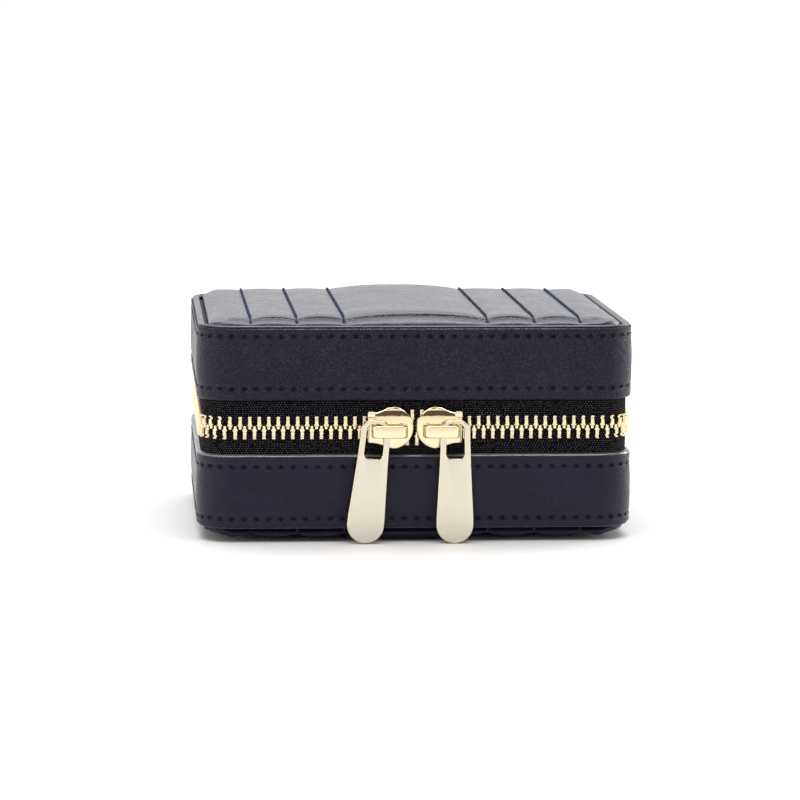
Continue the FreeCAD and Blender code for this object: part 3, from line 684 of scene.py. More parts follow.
def quilted_surface(creased):
    """Points of the panel's face, and its grid's places along x.

    Each point is x, y and its distance from the chain's middle. The pads end at the front in a crease,
    or otherwise in a full roll.
    """
    half_x, half_y = HALF_X - PANEL_INSET, HALF_Y - PANEL_INSET
    corner = CORNER - PANEL_INSET
    xs, ys = axis_lines(half_x, QUILT_LINES), axis_lines(half_y, ())
    x, y = np.meshgrid(xs, ys, indexing="ij")
    # Round the grid's corners.
    a = np.clip(np.abs(x) - (half_x - corner), 0, corner)
    b = np.clip(np.abs(y) - (half_y - corner), 0, corner)
    x = np.sign(x) * (np.abs(x) - a + a * np.sqrt(1 - b ** 2 / (2 * corner ** 2)))
    y = np.sign(y) * (np.abs(y) - b + b * np.sqrt(1 - a ** 2 / (2 * corner ** 2)))
    beyond = np.hypot(np.maximum(np.abs(x) - half_x + corner, 0), np.maximum(np.abs(y) - half_y + corner, 0))
    from_side, from_front = half_x - np.abs(x), half_y - np.abs(y)
    from_corner = np.where(beyond > 0, corner - beyond, np.inf)
    from_edge = np.maximum(np.minimum(from_corner, np.minimum(from_side, from_front)), 0)

    # The pad that each point is on, and how full the pad is across its width.
    ends = np.array([-half_x - 3.0, *[-line for line in reversed(QUILT_LINES)], *QUILT_LINES, half_x + 3.0])
    sewn_height = np.interp(np.abs(x), (0, *QUILT_LINES, half_x), SEWN_HEIGHTS)
    pad = np.clip(np.searchsorted(ends, x, side="right") - 1, 0, len(ends) - 2)
    crest = np.array(PAD_CRESTS)[pad] + CREST - PAD_CRESTS[3]
    if not creased:
        crest += 0.65 * (CREST - crest)
    width = ends[pad + 1] - ends[pad]
    share = np.clip((x - ends[pad]) / width, 0, 1)
    wide = width > 20
    fullness = 1 - np.abs(2 * share - 1) ** np.where(wide, 2.6, 2.2)
    # How the pads and the sewn lines rise from the front and back edges.
    front_steps = [0.35, 1.0, 3.0, 4.7, 5.0, 5.35, 5.8, 6.6, 9.0, 14.0, 22.0, 30.0]
    wide_shares = [0.02, 0.13, 0.36, 0.48, 0.38, 0.69, 0.77, 0.81, 0.85, 0.90, 0.96, 1.0]
    slim_shares = [0.03, 0.18, 0.38, 0.47, 0.36, 0.94, 1.04, 1.08, 1.06, 1.02, 1.0, 1.0]
    front_wide = np.interp(from_front, front_steps, wide_shares)
    front_slim = np.interp(from_front, front_steps, slim_shares)
    back_rise = np.interp(from_front, [0.35, 0.7, 1.2, 3.0, 8.0, 20.0], [0.35, 0.55, 0.70, 0.80, 0.90, 1.0])
    roll = np.interp(from_front, [0.35, 0.7, 1.2, 2.0, 4.0, 8.0], [0.40, 0.62, 0.80, 0.92, 0.98, 1.0])
    rise = np.where(y > 0, back_rise, np.where(wide, front_wide, front_slim) if creased else roll)
    flange = RIM + 0.5
    full = flange + (crest - flange) * rise
    sewn_steps = [0.35, 1.0, 3.0, 4.7, 5.0, 5.35, 7.0, 10.0]
    front_sewn = np.interp(from_front, sewn_steps, [0.14, 0.20, 0.27, 0.34, 0.26, 0.74, 0.88, 1.0])
    back_sewn = np.interp(from_front, [0.35, 0.7, 1.2, 3.0], [0.35, 0.6, 0.9, 1.0])
    sewn = RIM + (sewn_height - RIM) * np.where(y > 0, back_sewn, front_sewn if creased else back_sewn)
    height = sewn + np.maximum(full - sewn, 0) * fullness
    # The two sides slope down, and the edge turns down into the rim.
    side_steps, side_rises = [0.35, 1.0, 3.0, 6.0, 9.0, 12.0, 60.0], [0.12, 0.35, 0.85, 1.5, 2.1, 3.0, 9.0]
    side = np.interp(from_side, side_steps, side_rises) + RIM
    side += 0.45 * np.clip(y / 20.0, 0, 1) * np.clip(from_side / 5.0, 0, 1)
    if not creased:
        side += 0.3 + 0.5 * (side - RIM)
    height = smooth_min(height, side, 0.25)
    fall = np.interp(from_edge, [0.0, 0.12, 0.3, 0.5, 0.9, 2.0], [-2.2, -0.9, 0.0, 0.42, 0.75, 3.0]) + RIM
    height = smooth_min(height, fall, 0.1)
    if not creased:
        # The full roll swells outwards over the rim.
        swell = 4.2 * np.clip((height - RIM) / 1.2, 0, 1)
        x = x + swell * np.sign(x) * np.clip(1 - from_side / 4.0, 0, 1)
        y = y + swell * np.sign(y) * np.clip(1 - from_front / 4.0, 0, 1)
    return np.stack([x, y, height], axis=2), xs


def cloth_settle(points, faces, pins, frames, pressure, shrink, cap, bend=6.0):
    """Settle a sheet of leather or cloth under light pressure and return its moved points.

    The sheet is simulated at twenty times its size, because the solver is steady at that size.
    No point moves further than the cap.
    """
    scale = 20.0
    mesh = bpy.data.meshes.new("settling")
    mesh.from_pydata((points * MM * scale).tolist(), [], [list(map(int, face)) for face in faces])
    piece = bpy.data.objects.new("settling", mesh)
    bpy.context.scene.collection.objects.link(piece)
    group = piece.vertex_groups.new(name="pins")
    for weight in sorted(set(np.round(pins[pins > 0], 2).tolist())):
        chosen = np.nonzero(np.isclose(np.round(pins, 2), weight))[0]
        group.add([int(i) for i in chosen], float(weight), "REPLACE")
    cloth = piece.modifiers.new("cloth", "CLOTH")
    settings = cloth.settings
    settings.quality = 5
    settings.mass = 0.4
    settings.tension_stiffness = settings.compression_stiffness = 20.0
    settings.shear_stiffness = 12.0
    settings.bending_stiffness = bend
    settings.air_damping = 3.0
    settings.use_pressure = True
    settings.uniform_pressure_force = pressure
    settings.shrink_min = settings.shrink_max = shrink
    settings.effector_weights.gravity = 0.0
    settings.vertex_group_mass = "pins"
    settings.pin_stiffness = 1.0
    cloth.point_cache.frame_start, cloth.point_cache.frame_end = 1, frames
    scene = bpy.context.scene
    for number in range(1, frames + 1):
        scene.frame_set(number)
    settled = piece.evaluated_get(bpy.context.evaluated_depsgraph_get()).data
    moved = np.empty(len(settled.vertices) * 3)
    settled.vertices.foreach_get("co", moved)
    moved = moved.reshape(-1, 3) / (MM * scale)
    scene.frame_set(1)
    bpy.data.objects.remove(piece, do_unlink=True)
    change = moved - points
    length = np.linalg.norm(change, axis=1, keepdims=True)
    return points + change * (cap * np.tanh(length / cap) / np.maximum(length, 1e-9))


def quilt_columns(xs):
    """Indices of the grid's columns that lie on the quilting lines."""
    return [int(np.argmin(np.abs(xs - side * line))) for line in QUILT_LINES for side in (-1, 1)]


def settled_panel():
    """The creased face, how the leather settled over the foam, and the grid's places along x."""
    surface, xs = quilted_surface(creased=True)
    rows, columns = surface.shape[:2]
    flat = surface.reshape(-1, 3)
    pins = np.zeros((rows, columns))
    pins[0, :] = pins[-1, :] = pins[:, 0] = pins[:, -1] = 1.0
    for column in quilt_columns(xs):
        holes = np.abs((surface[column, :, 1] / STITCH_PITCH + 0.5) % 1.0 - 0.5) < 0.14
        pins[column, :] = np.where(holes, 1.0, 0.55)
    from_front = HALF_Y - PANEL_INSET + surface[:, :, 1]
    crease = np.abs(from_front - 5.3) < 0.95
    pins[crease] = np.maximum(pins[crease], 0.9)
    moved = cloth_settle(
        flat, grid_faces(rows, columns), pins.ravel(), frames=20, pressure=0.8, shrink=0.0, cap=0.14)
    return surface, (moved - flat).reshape(surface.shape), xs


def panel_pieces(surface, xs, body, up, hide):
    """A closed padded panel and the thread along its quilting lines."""
    face = surface.copy()
    face[:, :, 2] += 0.05 * ripple(face[:, :, 0], face[:, :, 1], 14.0, 31 + up)
    if up < 0:
        # The base's pads press flat on the table instead of sinking into it.
        over = (face[:, :, 2] - LEVEL + 0.05) / 0.1
        face[:, :, 2] -= 0.1 * np.log1p(np.exp(np.clip(over, -50, 50)))
    face[:, :, 2] = LEVEL + up * face[:, :, 2]
    rim = border_of(*surface.shape[:2])
    points = face.reshape(-1, 3)
    skirt = points[rim].copy()
    skirt[:, 2] = LEVEL + up * (RIM - 2.4)
    count = len(points)
    faces = grid_faces(*surface.shape[:2])
    for k, place in enumerate(rim):
        n = (k + 1) % len(rim)
        faces.append((place, rim[n], count + n, count + k))
    faces.append([count + k for k in range(len(rim))])
    panel = closed_piece(body + "_quilted_panel", np.concatenate([points, skirt]), faces, hide)
    dress(panel, body, body + "_panel")

    shapes = []
    for column in quilt_columns(xs):
        shapes += quilting_stitches(face[column], up)
    sewing = closed_piece(body + "_quilting_thread", *join_shapes(shapes), thread)
    dress(sewing, body, body + "_panel_stitches")


def quilting_stitches(track, up):
    """Stitches laid end to end along a track over the panel's face."""
    points, faces = thread_stitch(3.15, 0.2, 0.08, 0.32, 14.0, 0.3)
    travel = np.concatenate([[0], np.cumsum(np.linalg.norm(np.diff(track, axis=0), axis=1))])
    shapes = []
    for start in np.arange(0.2, travel[-1] - 0.2 - STITCH_PITCH, STITCH_PITCH):
        head, tail = (
            np.array([np.interp(start + k, travel, track[:, c]) for c in range(3)]) for k in (0.1, 3.1))
        direction = (tail - head) / np.linalg.norm(tail - head)
        outward = np.array([0, -direction[2], direction[1]]) * up
        outward *= np.sign(outward[2] * up) or 1.0
        across = np.cross(direction, outward)
        lift = (head + tail) / 2 + outward * 0.04
        shape = lift + points[:, :1] * direction - points[:, 1:2] * outward + points[:, 2:] * across
        shapes.append((shape, faces))
    return shapes


# ---------------------------------------------------------------- zip


def spread_at(x):
    """How far the teeth and tape are drawn aside between the sliders."""
    share = (12.0 - np.abs(x - MEETING)) / 7.5
    share = np.clip(share, 0, 1)
    return 1.7 * share * share * (3 - 2 * share)


def to_outer(distance, inset):
    """Distance along the outer wall of a place given along a line inset from it."""
    front, arc, side = wall.legs[:3]
    inner_arc = arc * (CORNER - inset) / CORNER
    left = abs(distance)
    out = min(left, front)
    left -= front
    for length, outer in ((inner_arc, arc), (side, side), (inner_arc, arc), (front, front)):
        if left <= 0:
            break
        out += min(left, length) / length * outer
        left -= length
    return math.copysign(out, distance)


def zip_tape(body, up):
    """Half of the zip's tape, with a corded edge under the teeth."""
    edge, hem = 0.85, 13.0
    outer, inner = TAPE_INSET, TAPE_INSET + TAPE_THICK
    below = [
        (outer + 0.05, edge), (outer - 0.12, edge + 0.35), (outer - 0.12, edge + 1.1),
        (outer + 0.02, edge + 1.6), (outer, edge + 2.3), (outer - 0.03, edge + 3.4), (outer, edge + 4.6),
        (outer + 0.02, edge + 6.2), (outer, hem - 1.0), (outer + 0.1, hem), (inner - 0.1, hem),
        (inner, hem - 1.0), (inner, edge + 4.6), (inner, edge + 1.6), (inner + 0.12, edge + 1.1),
        (inner + 0.12, edge + 0.35), (inner - 0.05, edge),
    ]
    profile = spline(below, 0.3, closed=True)
    profile[:, 1] = LEVEL + up * profile[:, 1]
    reach = to_outer(chain_inner_length() + 1.6, CHAIN_INSET)
    distances = np.linspace(-reach, reach, int(2 * reach / 0.45))

    def shift(along, inset, height):
        front = np.abs(along) < wall.legs[0]
        aside = np.where(front, spread_at(along), 0.0)
        near = np.clip((8.0 - np.abs(height - LEVEL)) / 7.0, 0, 1)
        waves = 0.05 * ripple(along, height * 2, 9.0, 40 + up) * np.clip(np.abs(height - LEVEL) / 3, 0, 1)
        return waves, up * aside * near

    piece = sweep(body + "_woven_tape", wall, distances, profile, tape_cloth, closed_path=False, shift=shift)
    dress(piece, body, body + "_zip_tape")


def chain_inner_length():
    """Length of the chain's own line from the middle of the front to its end at the back."""
    front, arc, side = wall.legs[:3]
    return front + side + 2 * arc * (CORNER - CHAIN_INSET) / CORNER + front + CORNER - CHAIN_END


def tooth_shape():
    """One cast tooth, pointing up: clamping legs with a pit near the foot, a flared neck and a head."""
    toe = rounded_block((-0.47, -1.28, -2.95), (0.47, 1.28, -2.58), 0.12)
    pit = rounded_block((-0.42, -0.72, -2.7), (0.42, 0.72, -1.9), 0.05)
    legs = rounded_block((-0.46, -1.3, -2.08), (0.46, 1.3, -0.75), 0.15)
    flare = rounded_block((-0.66, -1.12, -0.95), (0.66, 1.12, -0.35), 0.2)
    head = rounded_block((-0.40, -1.0, -0.6), (0.40, 1.0, 0.5), 0.24)
    return join_shapes([toe, pit, legs, flare, head])


def zip_teeth(body, up, first):
    """One row of teeth; up is -1 on the base, where the teeth point up."""
    points, faces = tooth_shape()
    reach = chain_inner_length()
    count = int((reach - first) / TOOTH_PITCH)
    shapes = []
    for i in range(-count, count + 1):
        place = i * TOOTH_PITCH + first
        if abs(place) > reach:
            continue
        shape = points.copy()
        if wall.at(to_outer(place, CHAIN_INSET))[0, 1] > HALF_Y - 6.0:
            shape[:, 0] *= 0.82
        shape[:, 0] += 0.03 * random.standard_normal()
        if abs(place) < 20:
            slope = float(spread_at(place + 0.5) - spread_at(place - 0.5))
            shape[:, 0] += slope * shape[:, 2] * 0.9
            shape[:, 2] -= float(spread_at(place))
        shape[:, 2] *= -up
        shapes.append((on_wall(shape, to_outer(place, CHAIN_INSET), CHAIN_INSET, LEVEL), faces))
    piece = closed_piece(body + "_metal_teeth", *join_shapes(shapes), gold)
    dress(piece, body, body + "_zip_teeth")


def zip_stops(body, up):
    """Crimped metal clips over the ends of the tape."""
    points, faces = rounded_block((-0.8, -0.95, -5.4), (0.8, 0.95, -1.0), 0.3, 3)
    points[:, 2] *= -up
    place = to_outer(chain_inner_length() + CHAIN_END - STOP_PLACE, CHAIN_INSET)
    shapes = [(on_wall(points, side * place, CHAIN_INSET, LEVEL), faces) for side in (-1, 1)]
    piece = closed_piece(body + "_end_stops", *join_shapes(shapes), gold)
    dress(piece, body, body + "_zip_stops")


# ---------------------------------------------------------------- sliders and pulls


def arc_points(cx, cy, radius, start, end, count):
    """Points on an arc, angles in degrees."""
    angles = np.radians(np.linspace(start, end, count))
    return [(cx + radius * math.cos(t), cy + radius * math.sin(t)) for t in angles]


def slider_outline():
    """Face of a slider as (distance from the nose, height): a round head and a narrower tail."""
    head, centre = 5.45, 5.5
    upper = arc_points(centre, 0, head, 180, 96, 16)
    upper += [(6.6, 5.2), (8.0, 4.6), (9.4, 4.15), (10.6, 3.98), (11.4, 3.95), (11.75, 3.85), (11.9, 3.5)]
    lower = [(x, -z) for x, z in reversed(upper)]
    return np.array(upper + [(11.95, 0.0)] + lower[:-1])


def domed_plate(outline, centre, rings):
    """A plate from rings of (share of the outline, depth) pairs, closed at both ends by a point."""
    outline, centre = np.asarray(outline, float), np.asarray(centre, float)
    points = []
    for share, depth in rings:
        points += [(x, -depth, z) for x, z in centre + (outline - centre) * share]
    points += [(centre[0], -rings[k][1], centre[1]) for k in (0, -1)]
    return np.array(points), pointed_faces(len(rings), len(outline))


def bar_along(path, half_width, half_thick, corner=0.35, steps=4):
    """A rounded bar along a path in the x, depth plane, half_width tall in z."""
    path = np.asarray(path, float)
    section = []
    for cx, cz, start in ((1, 1, 0), (-1, 1, 90), (-1, -1, 180), (1, -1, 270)):
        middle = (cx * (half_thick - corner), cz * (half_width - corner))
        section += arc_points(*middle, corner, start, start + 90, steps)
    tangent = np.gradient(path, axis=0)
    tangent /= np.linalg.norm(tangent, axis=1, keepdims=True)
    normal = np.stack([-tangent[:, 1], tangent[:, 0]], axis=1)
    points = []
    for place, out in zip(path, normal):
        for thick, tall in section:
            points.append((place[0] + out[0] * thick, -(place[1] + out[1] * thick), tall))
    return np.array(points), tube_faces(len(path), len(section))


def fall_back(shape, flank, behind):
    """Slope a plate's face backwards above a height, leaving everything deeper than behind alone."""
    work = as_bmesh(*shape)
    everything = work.verts[:] + work.edges[:] + work.faces[:]
    bmesh.ops.bisect_plane(work, geom=everything, plane_co=(0, 0, flank), plane_no=(0, 0, 1))
    points, faces = read_back(work)
    front = -points[:, 1].min()
    share = np.clip((-points[:, 1] - behind) / (front - behind), 0, 1)
    points[:, 1] += share * 0.42 * np.maximum(points[:, 2] - flank, 0)
    return points, faces


def slider_shapes(front):
    """Casting and bridge of a slider with its nose at x = 0; front is the plate's face depth."""
    outline = slider_outline()
    centre = (6.0, 0.0)
    back_face = front - 4.75
    flank = 3.1
    plate = domed_plate(outline, centre, [
        (0.90, front - 1.05), (0.97, front - 1.02), (1.0, front - 0.85), (1.0, front - 0.35),
        (0.985, front - 0.16), (0.955, front - 0.04), (0.90, front + 0.02), (0.7, front + 0.10),
        (0.4, front + 0.16), (0.15, front + 0.18),
    ])
    back = domed_plate(outline, centre, [
        (0.90, back_face), (0.97, back_face + 0.03), (1.0, back_face + 0.2), (1.0, back_face + 0.75),
        (0.97, back_face + 0.88), (0.9, back_face + 0.9),
    ])
    post_ring = [(1.6, 0.62), (1.6, -0.62), (4.0, -0.7), (7.6, 0.0), (4.0, 0.7)]
    post = extruded(post_ring, back_face + 0.5, front - 0.5)
    tail_tab = rounded_block((10.0, -(front + 0.42), 2.7), (12.0, -(front - 0.8), 4.35), 0.3, 3)
    shapes = [fall_back(plate, flank, front - 0.95), back, post, tail_tab]
    side = [(1.6, 3.85), (3.2, 4.75), (5.5, 5.1), (7.2, 4.65), (9.0, 3.98), (10.6, 3.68), (11.7, 3.6)]
    for sign in (-1, 1):
        ring = [(x, z * sign) for x, z in side] + [(x, (z - 0.62) * sign) for x, z in side[::-1]]
        shapes.append(extruded(ring, front - 2.0, front - 0.5))
        shapes.append(extruded(ring, back_face + 0.5, back_face + 1.75))
    path = [
        (2.25, -0.3), (2.2, 0.8), (2.35, 1.9), (2.8, 2.75), (3.6, 3.15), (5.0, 3.3), (7.0, 3.38), (8.8, 3.3),
        (9.9, 3.1), (10.35, 2.5), (10.4, 1.4), (10.4, -0.3),
    ]
    bridge = bar_along(spline([(x, front + rise) for x, rise in path], 0.35), 1.63, 0.68, 0.42)
    return join_shapes(shapes), bridge


def extruded(ring, low, high):
    """A prism between two depths over a ring of (x, z) points."""
    points = [(x, -depth, z) for depth in (low, high) for x, z in ring]
    return np.array(points, float), tube_faces(2, len(ring))


def slider(name):
    """The casting and the bridge of the slider with this name."""
    side = 1 if name == "right_slider" else -1
    casting, bridge = slider_shapes(-box_mm(name)[0][1])
    bridge_low, bridge_high = box_mm(name + "_bridge")
    drop = (bridge_low[2] + bridge_high[2]) / 2 - LEVEL
    nose = MEETING + side * NOSE_GAP
    for label, node, (points, faces), lower in (
        ("_casting", name, casting, 0.0), ("_arch", name + "_bridge", bridge, drop),
    ):
        shape = points * np.array([side, 1, 1]) + np.array([nose, 0, LEVEL + lower])
        piece = closed_piece(name + label, shape, faces, gold, sharp=42)
        dress(piece, name, node)


def plate_with_holes(name, outlines, thickness, bevel, material, edge_material):
    """A flat plate with rounded edges from closed outlines in x, z; further outlines are holes."""
    data = bpy.data.curves.new(name, "CURVE")
    data.dimensions = "2D"
    data.fill_mode = "BOTH"
    data.extrude = (thickness / 2 - bevel) * MM
    data.bevel_depth = bevel * MM
    data.bevel_resolution = 4
    data.offset = -bevel * MM
    for outline in outlines:
        track = data.splines.new("POLY")
        track.points.add(len(outline) - 1)
        track.points.foreach_set("co", np.array([(x * MM, z * MM, 0, 1) for x, z in outline]).ravel())
        track.use_cyclic_u = True
    source = bpy.data.objects.new(name + "_outline", data)
    bpy.context.scene.collection.objects.link(source)
    bpy.context.view_layer.update()
    mesh = bpy.data.meshes.new_from_object(source.evaluated_get(bpy.context.evaluated_depsgraph_get()))
    bpy.data.objects.remove(source, do_unlink=True)

    def weld(work):
        bmesh.ops.remove_doubles(work, verts=work.verts, dist=1e-7)
        bmesh.ops.dissolve_limit(work, angle_limit=0.002, verts=work.verts, edges=work.edges)

    rework(mesh, weld)
    mesh.name = name
    piece = bpy.data.objects.new(name, mesh)
    bpy.context.scene.collection.objects.link(piece)
    mesh.materials.clear()
    for finish in (material, edge_material):
        mesh.materials.append(finish)
    for face in mesh.polygons:
        face.material_index = int(abs(face.normal.z) < 0.9)
    mesh.shade_smooth()
    mesh.set_sharp_from_angle(angle=math.radians(24))
    return piece


def pull_outlines():
    """Tapered tag and its window, with the bridge's foot at the origin."""
    flare = [(3.9, -2.5), (4.1, -8.5), (4.5, -16.5), (4.82, -22.2)]
    tag = round_top(3.85, 2.9, 2.75, 14) + [(-x, z) for x, z in flare]
    tag += arc_points(0, -24.45, 4.85, 176, 364, 41) + flare[::-1]
    jamb = [(2.33, -2.8), (2.37, -6.0), (2.2, -6.55), (1.6, -7.15)]
    window = round_top(2.3, 1.95, 1.7, 10) + [(-x, z) for x, z in jamb] + jamb[::-1]
    return tag, window


def round_top(half_width, top, radius, count):
    """Points over a flat top with round shoulders, from right to left."""
    middle, height = half_width - radius, top - radius
    right = arc_points(middle, height, radius, 0, 90, count)
    return right + arc_points(-middle, height, radius, 90, 180, count)


def pull(name, tilt):
    """The pull with this name, tilted by an angle in degrees about its bridge's foot."""
    joint = next(j for j in frame["joints"] if j["name"] == name + "_swing")
    pivot = np.array(joint["pos_m"]) / MM
    low, high = box_mm(name)
    piece = plate_with_holes(name + "_tag", pull_outlines(), high[1] - low[1], 0.32, pull_gold, gold)
    place = Matrix.Translation(Vector((pivot[0], (low[1] + high[1]) / 2, pivot[2])) * MM)
    turn = Matrix.Rotation(math.radians(tilt), 4, "Y") @ Matrix.Rotation(math.pi / 2, 4, "X")
    piece.data.transform(place @ turn)
    dress(piece, name, name)


# ---------------------------------------------------------------- hinge


def hinge_strip(node, name, thickness, sag, material):
    """A flexible strip across the back, bowed slightly where base and lid meet."""
    low, high = box_mm(node)
    outer_y, reach, half_width = high[1], LEVEL - low[2], (high[0] - low[0]) / 2
    rows = np.linspace(-reach, reach, 49)
    bow = sag * np.exp(-(rows / 1.6) ** 2)
    columns = np.linspace(-half_width, half_width, 121)
    points = []
    for layer, depth in ((0, 0.0), (1, thickness)):
        for x in columns:
            wave = 0.04 * ripple(np.full_like(rows, x), rows * 2, 11.0, 60 + layer)
            points += [(x, outer_y - depth - b + w, LEVEL + z) for z, b, w in zip(rows, bow, wave)]
    size = len(columns) * len(rows)
    sheet = grid_faces(len(columns), len(rows))
    faces = sheet + [(size + a, size + d, size + c, size + b) for a, b, c, d in sheet]
    ring = border_of(len(columns), len(rows))
    faces += [(a, b, size + b, size + a) for a, b in zip(ring, ring[1:] + ring[:1])]
    piece = closed_piece(name, points, faces, material)
    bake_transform(piece)
    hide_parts(node)


# ---------------------------------------------------------------- inside


def lining(body, up):
    """Velvet glued over the rim of the frame, down the wall and across the floor."""
    depth = LEVEL - lining_low[2] - 0.75
    top = 0.12
    below = [
        (-0.82, top + 0.9), (-0.8, top + 0.2), (-0.45, top), (0.35, top + 0.05), (0.72, top + 0.6),
        (0.72, top + 3.0), (0.72, depth - 2.2), (1.0, depth - 0.9), (1.9, depth - 0.15), (3.2, depth),
    ]
    profile = spline([(LINING_INSET + inset, height) for inset, height in below], 0.5)
    profile[:, 1] = LEVEL + up * profile[:, 1]
    distances = np.linspace(-wall.half_round, wall.half_round, 420, endpoint=False)

    def shift(along, inset, height):
        return 0.05 * ripple(along, height, 12.0, 80 + up), np.zeros_like(along)

    def add_floor(work):
        work.verts.ensure_lookup_table()
        columns = len(profile)
        work.faces.new([work.verts[i * columns + columns - 1] for i in range(len(distances))])

    piece = sweep(
        body + "_velvet_lining", wall, distances, profile, velvet, True, closed_profile=False, shift=shift)
    rework(piece.data, add_floor)
    shell = piece.modifiers.new("cloth_thickness", "SOLIDIFY")
    shell.thickness = 0.5 * MM
    shell.offset = 0.0
    dress(piece, body, body + "_liner")


def fabric_board(node, body, radius, puff=0.0):
    """A board or pad wrapped in fabric: rounded, with a slightly swollen top and free ends."""
    low, high = box_mm(node)
    longest = int(np.argmax(high - low))
    low[longest] += 0.3
    high[longest] -= 0.3
    radius = min(radius, min(high - low) * 0.49)
    work = as_bmesh(*rounded_block(low, high, radius, 3))
    long_edges = [edge for edge in work.edges if edge.calc_length() > 3.0]
    bmesh.ops.subdivide_edges(work, edges=long_edges, cuts=24, use_grid_fill=True)
    points, faces = read_back(work)
    share = (points - low) / (high - low)
    dome = np.prod(np.clip(4 * share[:, :2] * (1 - share[:, :2]), 0, 1) ** 0.35, axis=1)
    points[:, 2] += puff * dome * (share[:, 2] > 0.6)
    piece = closed_piece(node + "_cover", points, faces, velvet, sharp=60)
    dress(piece, body, node)
    return piece


def ring_rolls():
    """Padded velvet rolls, each swollen from its plain solid."""
    rolls = [node for node in frame["nodes"] if node.startswith("ring_roll_") and node != "ring_roll_board"]
    low, high = box_mm(rolls[0])
    half = (high[1] - low[1]) / 2
    length = high[0] - low[0]
    flank = [
        (half - 0.25, 0.0), (half - 0.05, 1.2), (half - 0.1, 4.2), (half * 0.93, 7.6), (half * 0.66, 10.9),
        (half * 0.3, 12.6),
    ]
    section = spline([(-y, z) for y, z in flank] + [(0, 13.05)] + flank[::-1] + [(0, 0.0)], 0.9, closed=True)
    along = 44
    middle = np.array([0, 5.5])
    points = []
    for i in range(along):
        t = i / (along - 1)
        end = min(t, 1 - t) * length
        shrink = 1 - 0.16 * max(0, 1 - end / 1.6) ** 2
        for y, z in middle + (section - middle) * shrink:
            points.append((t * length, y, max(z, 0.0)))
    points = np.array(points + [(0.0, *middle), (length, *middle)])
    faces = pointed_faces(along, len(section))
    pins = np.where(points[:, 2] < 0.6, 1.0, 0.0)
    points = cloth_settle(points, faces, pins, frames=18, pressure=1.2, shrink=-0.03, cap=0.3, bend=2.0)
    points[:, 2] = np.maximum(points[:, 2], 0.0)
    points[:, 1] = np.clip(points[:, 1], -half - 0.15, half + 0.15)
    for number, node in enumerate(sorted(rolls)):
        low, high = box_mm(node)
        shape = points.copy()
        if number % 2 == 0:
            shape[:, 0] = length - shape[:, 0]
        shape += np.array([low[0], (low[1] + high[1]) / 2, low[2]])
        piece = closed_piece(node + "_cushion", shape, faces, velvet)
        smoother = piece.modifiers.new("smooth", "SUBSURF")
        smoother.levels = smoother.render_levels = 1
        dress(piece, "base", node)


def mirror_pieces():
    """Padded velvet surround and the bevelled mirror."""
    low, high = box_mm("mirror_surround")
    outline = Wall((high[0] - low[0]) / 2, (high[1] - low[1]) / 2, 3.6)
    front, back = low[2], high[2]
    lap, rounded = 8.4, 3.4
    profile = spline([
        (0.3, back), (0.0, back - 0.8), (0.1, front + 1.2), (0.9, front + 0.15), (3.0, front - 0.35),
        (5.6, front - 0.2), (7.6, front + 0.2), (lap, front + 0.75), (lap, front + 0.98), (6.0, front + 1.0),
        (4.55, front + 1.05), (4.5, back - 0.2), (4.4, back),
    ], 0.5, closed=True)
    distances = np.linspace(-outline.half_round, outline.half_round, 360, endpoint=False)

    def straight_in(place, reach, inset):
        """Carry on inwards along one axis past the rounded part, so that the inner corners are square."""
        soft = min(inset, rounded)
        if abs(abs(place) - (reach - soft)) < rounded - soft + 0.2:
            place -= np.sign(place) * min(inset - soft, abs(place))
        return place

    points = []
    for x, y, nx, ny in outline.at(distances):
        for inset, z in profile:
            soft = min(inset, rounded)
            px = straight_in(x - soft * nx, outline.half_x, inset)
            py = straight_in(y - soft * ny, outline.half_y, inset)
            points.append((px, py, z))
    faces = grid_faces(len(distances), len(profile), True, True)
    surround = closed_piece("mirror_surround_pad", points, faces, velvet)
    dress(surround, "lid", "mirror_surround")
    glass = closed_piece(
        "mirror_plate", *rounded_block(*box_mm("mirror_glass"), 0.25, 2), mirror_glass, sharp=30)
    dress(glass, "lid", "mirror_glass")


# ---------------------------------------------------------------- camera, light and floor


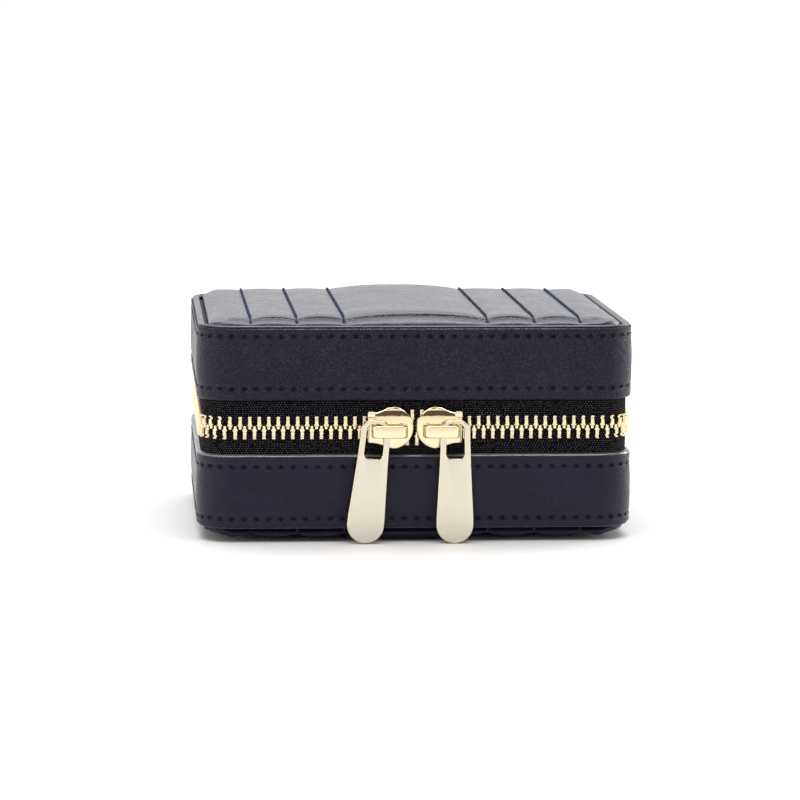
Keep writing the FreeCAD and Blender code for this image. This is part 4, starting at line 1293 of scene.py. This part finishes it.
def stage():
    """Pale floor and soft light."""
    shader = Shader("pale_floor", (0.68, 0.68, 0.685), 0.6)
    speckle = shader.noise(shader.place(), 30.0, 2.0)
    pale = shader.finish(shader.mix(speckle, (0.67, 0.67, 0.675), (0.69, 0.69, 0.692)))
    reach = 6000.0
    corners = [(-reach, -reach, 0), (reach, -reach, 0), (reach, reach, 0), (-reach, reach, 0)]
    new_piece("floor", corners, [(0, 1, 2, 3)], pale)

    scene = bpy.context.scene
    scene.view_settings.view_transform = "Standard"
    world = bpy.data.worlds.new("studio")
    scene.world = world
    world.use_nodes = True
    sky = Nodes(world.node_tree)
    direction = sky.split(sky.add("ShaderNodeTexCoord").outputs["Generated"])
    behind = sky.spread(direction["Y"], -0.1, 0.35, 1.0, 0.0, "SMOOTHSTEP")
    above = sky.spread(direction["Z"], 0.22, 0.5, 0.0, 1.0, "SMOOTHSTEP")
    dark = sky.math("MULTIPLY", behind, above)
    background = sky.nodes["Background"].inputs
    sky.feed(background["Strength"], sky.spread(dark, 0.0, 1.0, 1.12, 0.12, "SMOOTHSTEP"))
    sky.feed(background["Color"], sky.mix(dark, (1.0, 1.0, 1.0), (1.0, 0.72, 0.45)))

    for name, place, target, width, height, power in (
        ("top_light", (0.0, 0.35, 1.1), (0, 0, 0.03), 1.3, 0.9, 4.0),
        ("strip_light", (0.0, -0.3, 1.0), (0, 0, 0.03), 1.4, 0.16, 3.0),
        ("left_light", (-1.0, -0.35, 0.5), (0, 0, 0.03), 0.6, 0.7, 2.2),
        ("right_light", (1.0, -0.35, 0.45), (0, 0, 0.03), 0.5, 0.6, 1.0),
        ("right_back_light", (0.9, 0.5, 0.35), (0, 0, 0.05), 0.4, 0.4, 4.0),
    ):
        light = bpy.data.lights.new(name, "AREA")
        light.shape = "RECTANGLE"
        light.size, light.size_y = width, height
        light.energy = power
        holder = bpy.data.objects.new(name, light)
        holder.location = place
        holder.rotation_euler = (Vector(target) - Vector(place)).to_track_quat("-Z", "Y").to_euler()
        scene.collection.objects.link(holder)
    sun = bpy.data.lights.new("sky_light", "SUN")
    sun.energy, sun.angle = 2.9, math.radians(70)
    scene.collection.objects.link(bpy.data.objects.new("sky_light", sun))


def camera():
    """A long lens about a metre away, left of the middle and looking slightly down."""
    lens = bpy.data.cameras.new("camera")
    lens.sensor_width = 36.0
    lens.lens = 160.6365
    lens.clip_start, lens.clip_end = 0.05, 50.0
    holder = bpy.data.objects.new("camera", lens)
    bpy.context.scene.collection.objects.link(holder)
    yaw, pitch, roll = math.radians(4.432), math.radians(7.197), math.radians(0.362)
    forward = Vector((math.sin(yaw) * math.cos(pitch), math.cos(yaw) * math.cos(pitch), -math.sin(pitch)))
    right = Vector((math.cos(yaw), -math.sin(yaw), 0))
    upward = right.cross(forward)
    turned_right = right * math.cos(roll) + upward * math.sin(roll)
    turned_up = -right * math.sin(roll) + upward * math.cos(roll)
    place = Matrix((turned_right, turned_up, -forward)).transposed().to_4x4()
    place.translation = Vector((-0.0754, -0.96055, LEVEL * MM + 0.1231))
    holder.matrix_world = place
    bpy.context.scene.camera = holder


# ---------------------------------------------------------------- the whole scene

camera()
stage()

for body, up in (("base", -1), ("lid", 1)):
    side_band(body, up)
    band_stitches(body, up, "rim", ROW_RIM)
    band_stitches(body, up, "zip", ROW_ZIP)
    zip_tape(body, up)
    zip_teeth(body, up, first=0.0 if body == "base" else TOOTH_PITCH / 2)
    zip_stops(body, up)
    lining(body, up)

creased_face, settling, panel_xs = settled_panel()
rolled_face = quilted_surface(creased=False)[0]
panel_pieces(creased_face + settling, panel_xs, "lid", 1, panel_leather)
panel_pieces(rolled_face + settling, panel_xs, "base", -1, leather)

for side, tilt in (("left", 6.0), ("right", 0.0)):
    slider(side + "_slider")
    pull(side + "_pull", tilt)

hinge_strip("hinge_leather", "hinge_leather_strip", 0.6, 0.35, leather)
hinge_strip("hinge_lining", "hinge_velvet_strip", 0.5, 0.5, velvet)

ring_rolls()
floor_pad = fabric_board("compartment_floor_pad", "base", 0.45, puff=0.35)
fabric_board("ring_roll_board", "base", 0.3)
fabric_board("long_divider", "base", 0.8)
fabric_board("cross_divider", "divider", 0.65)
mirror_pieces()

# These stay CAD meshes, with the look of what covers them.
for node, finish in (
    ("base_frame", wrapped_board), ("lid_frame", wrapped_board), ("mirror_backing", wrapped_board),
    ("divider_guides", velvet),
):
    frame["nodes"][node].data.materials[0] = finish
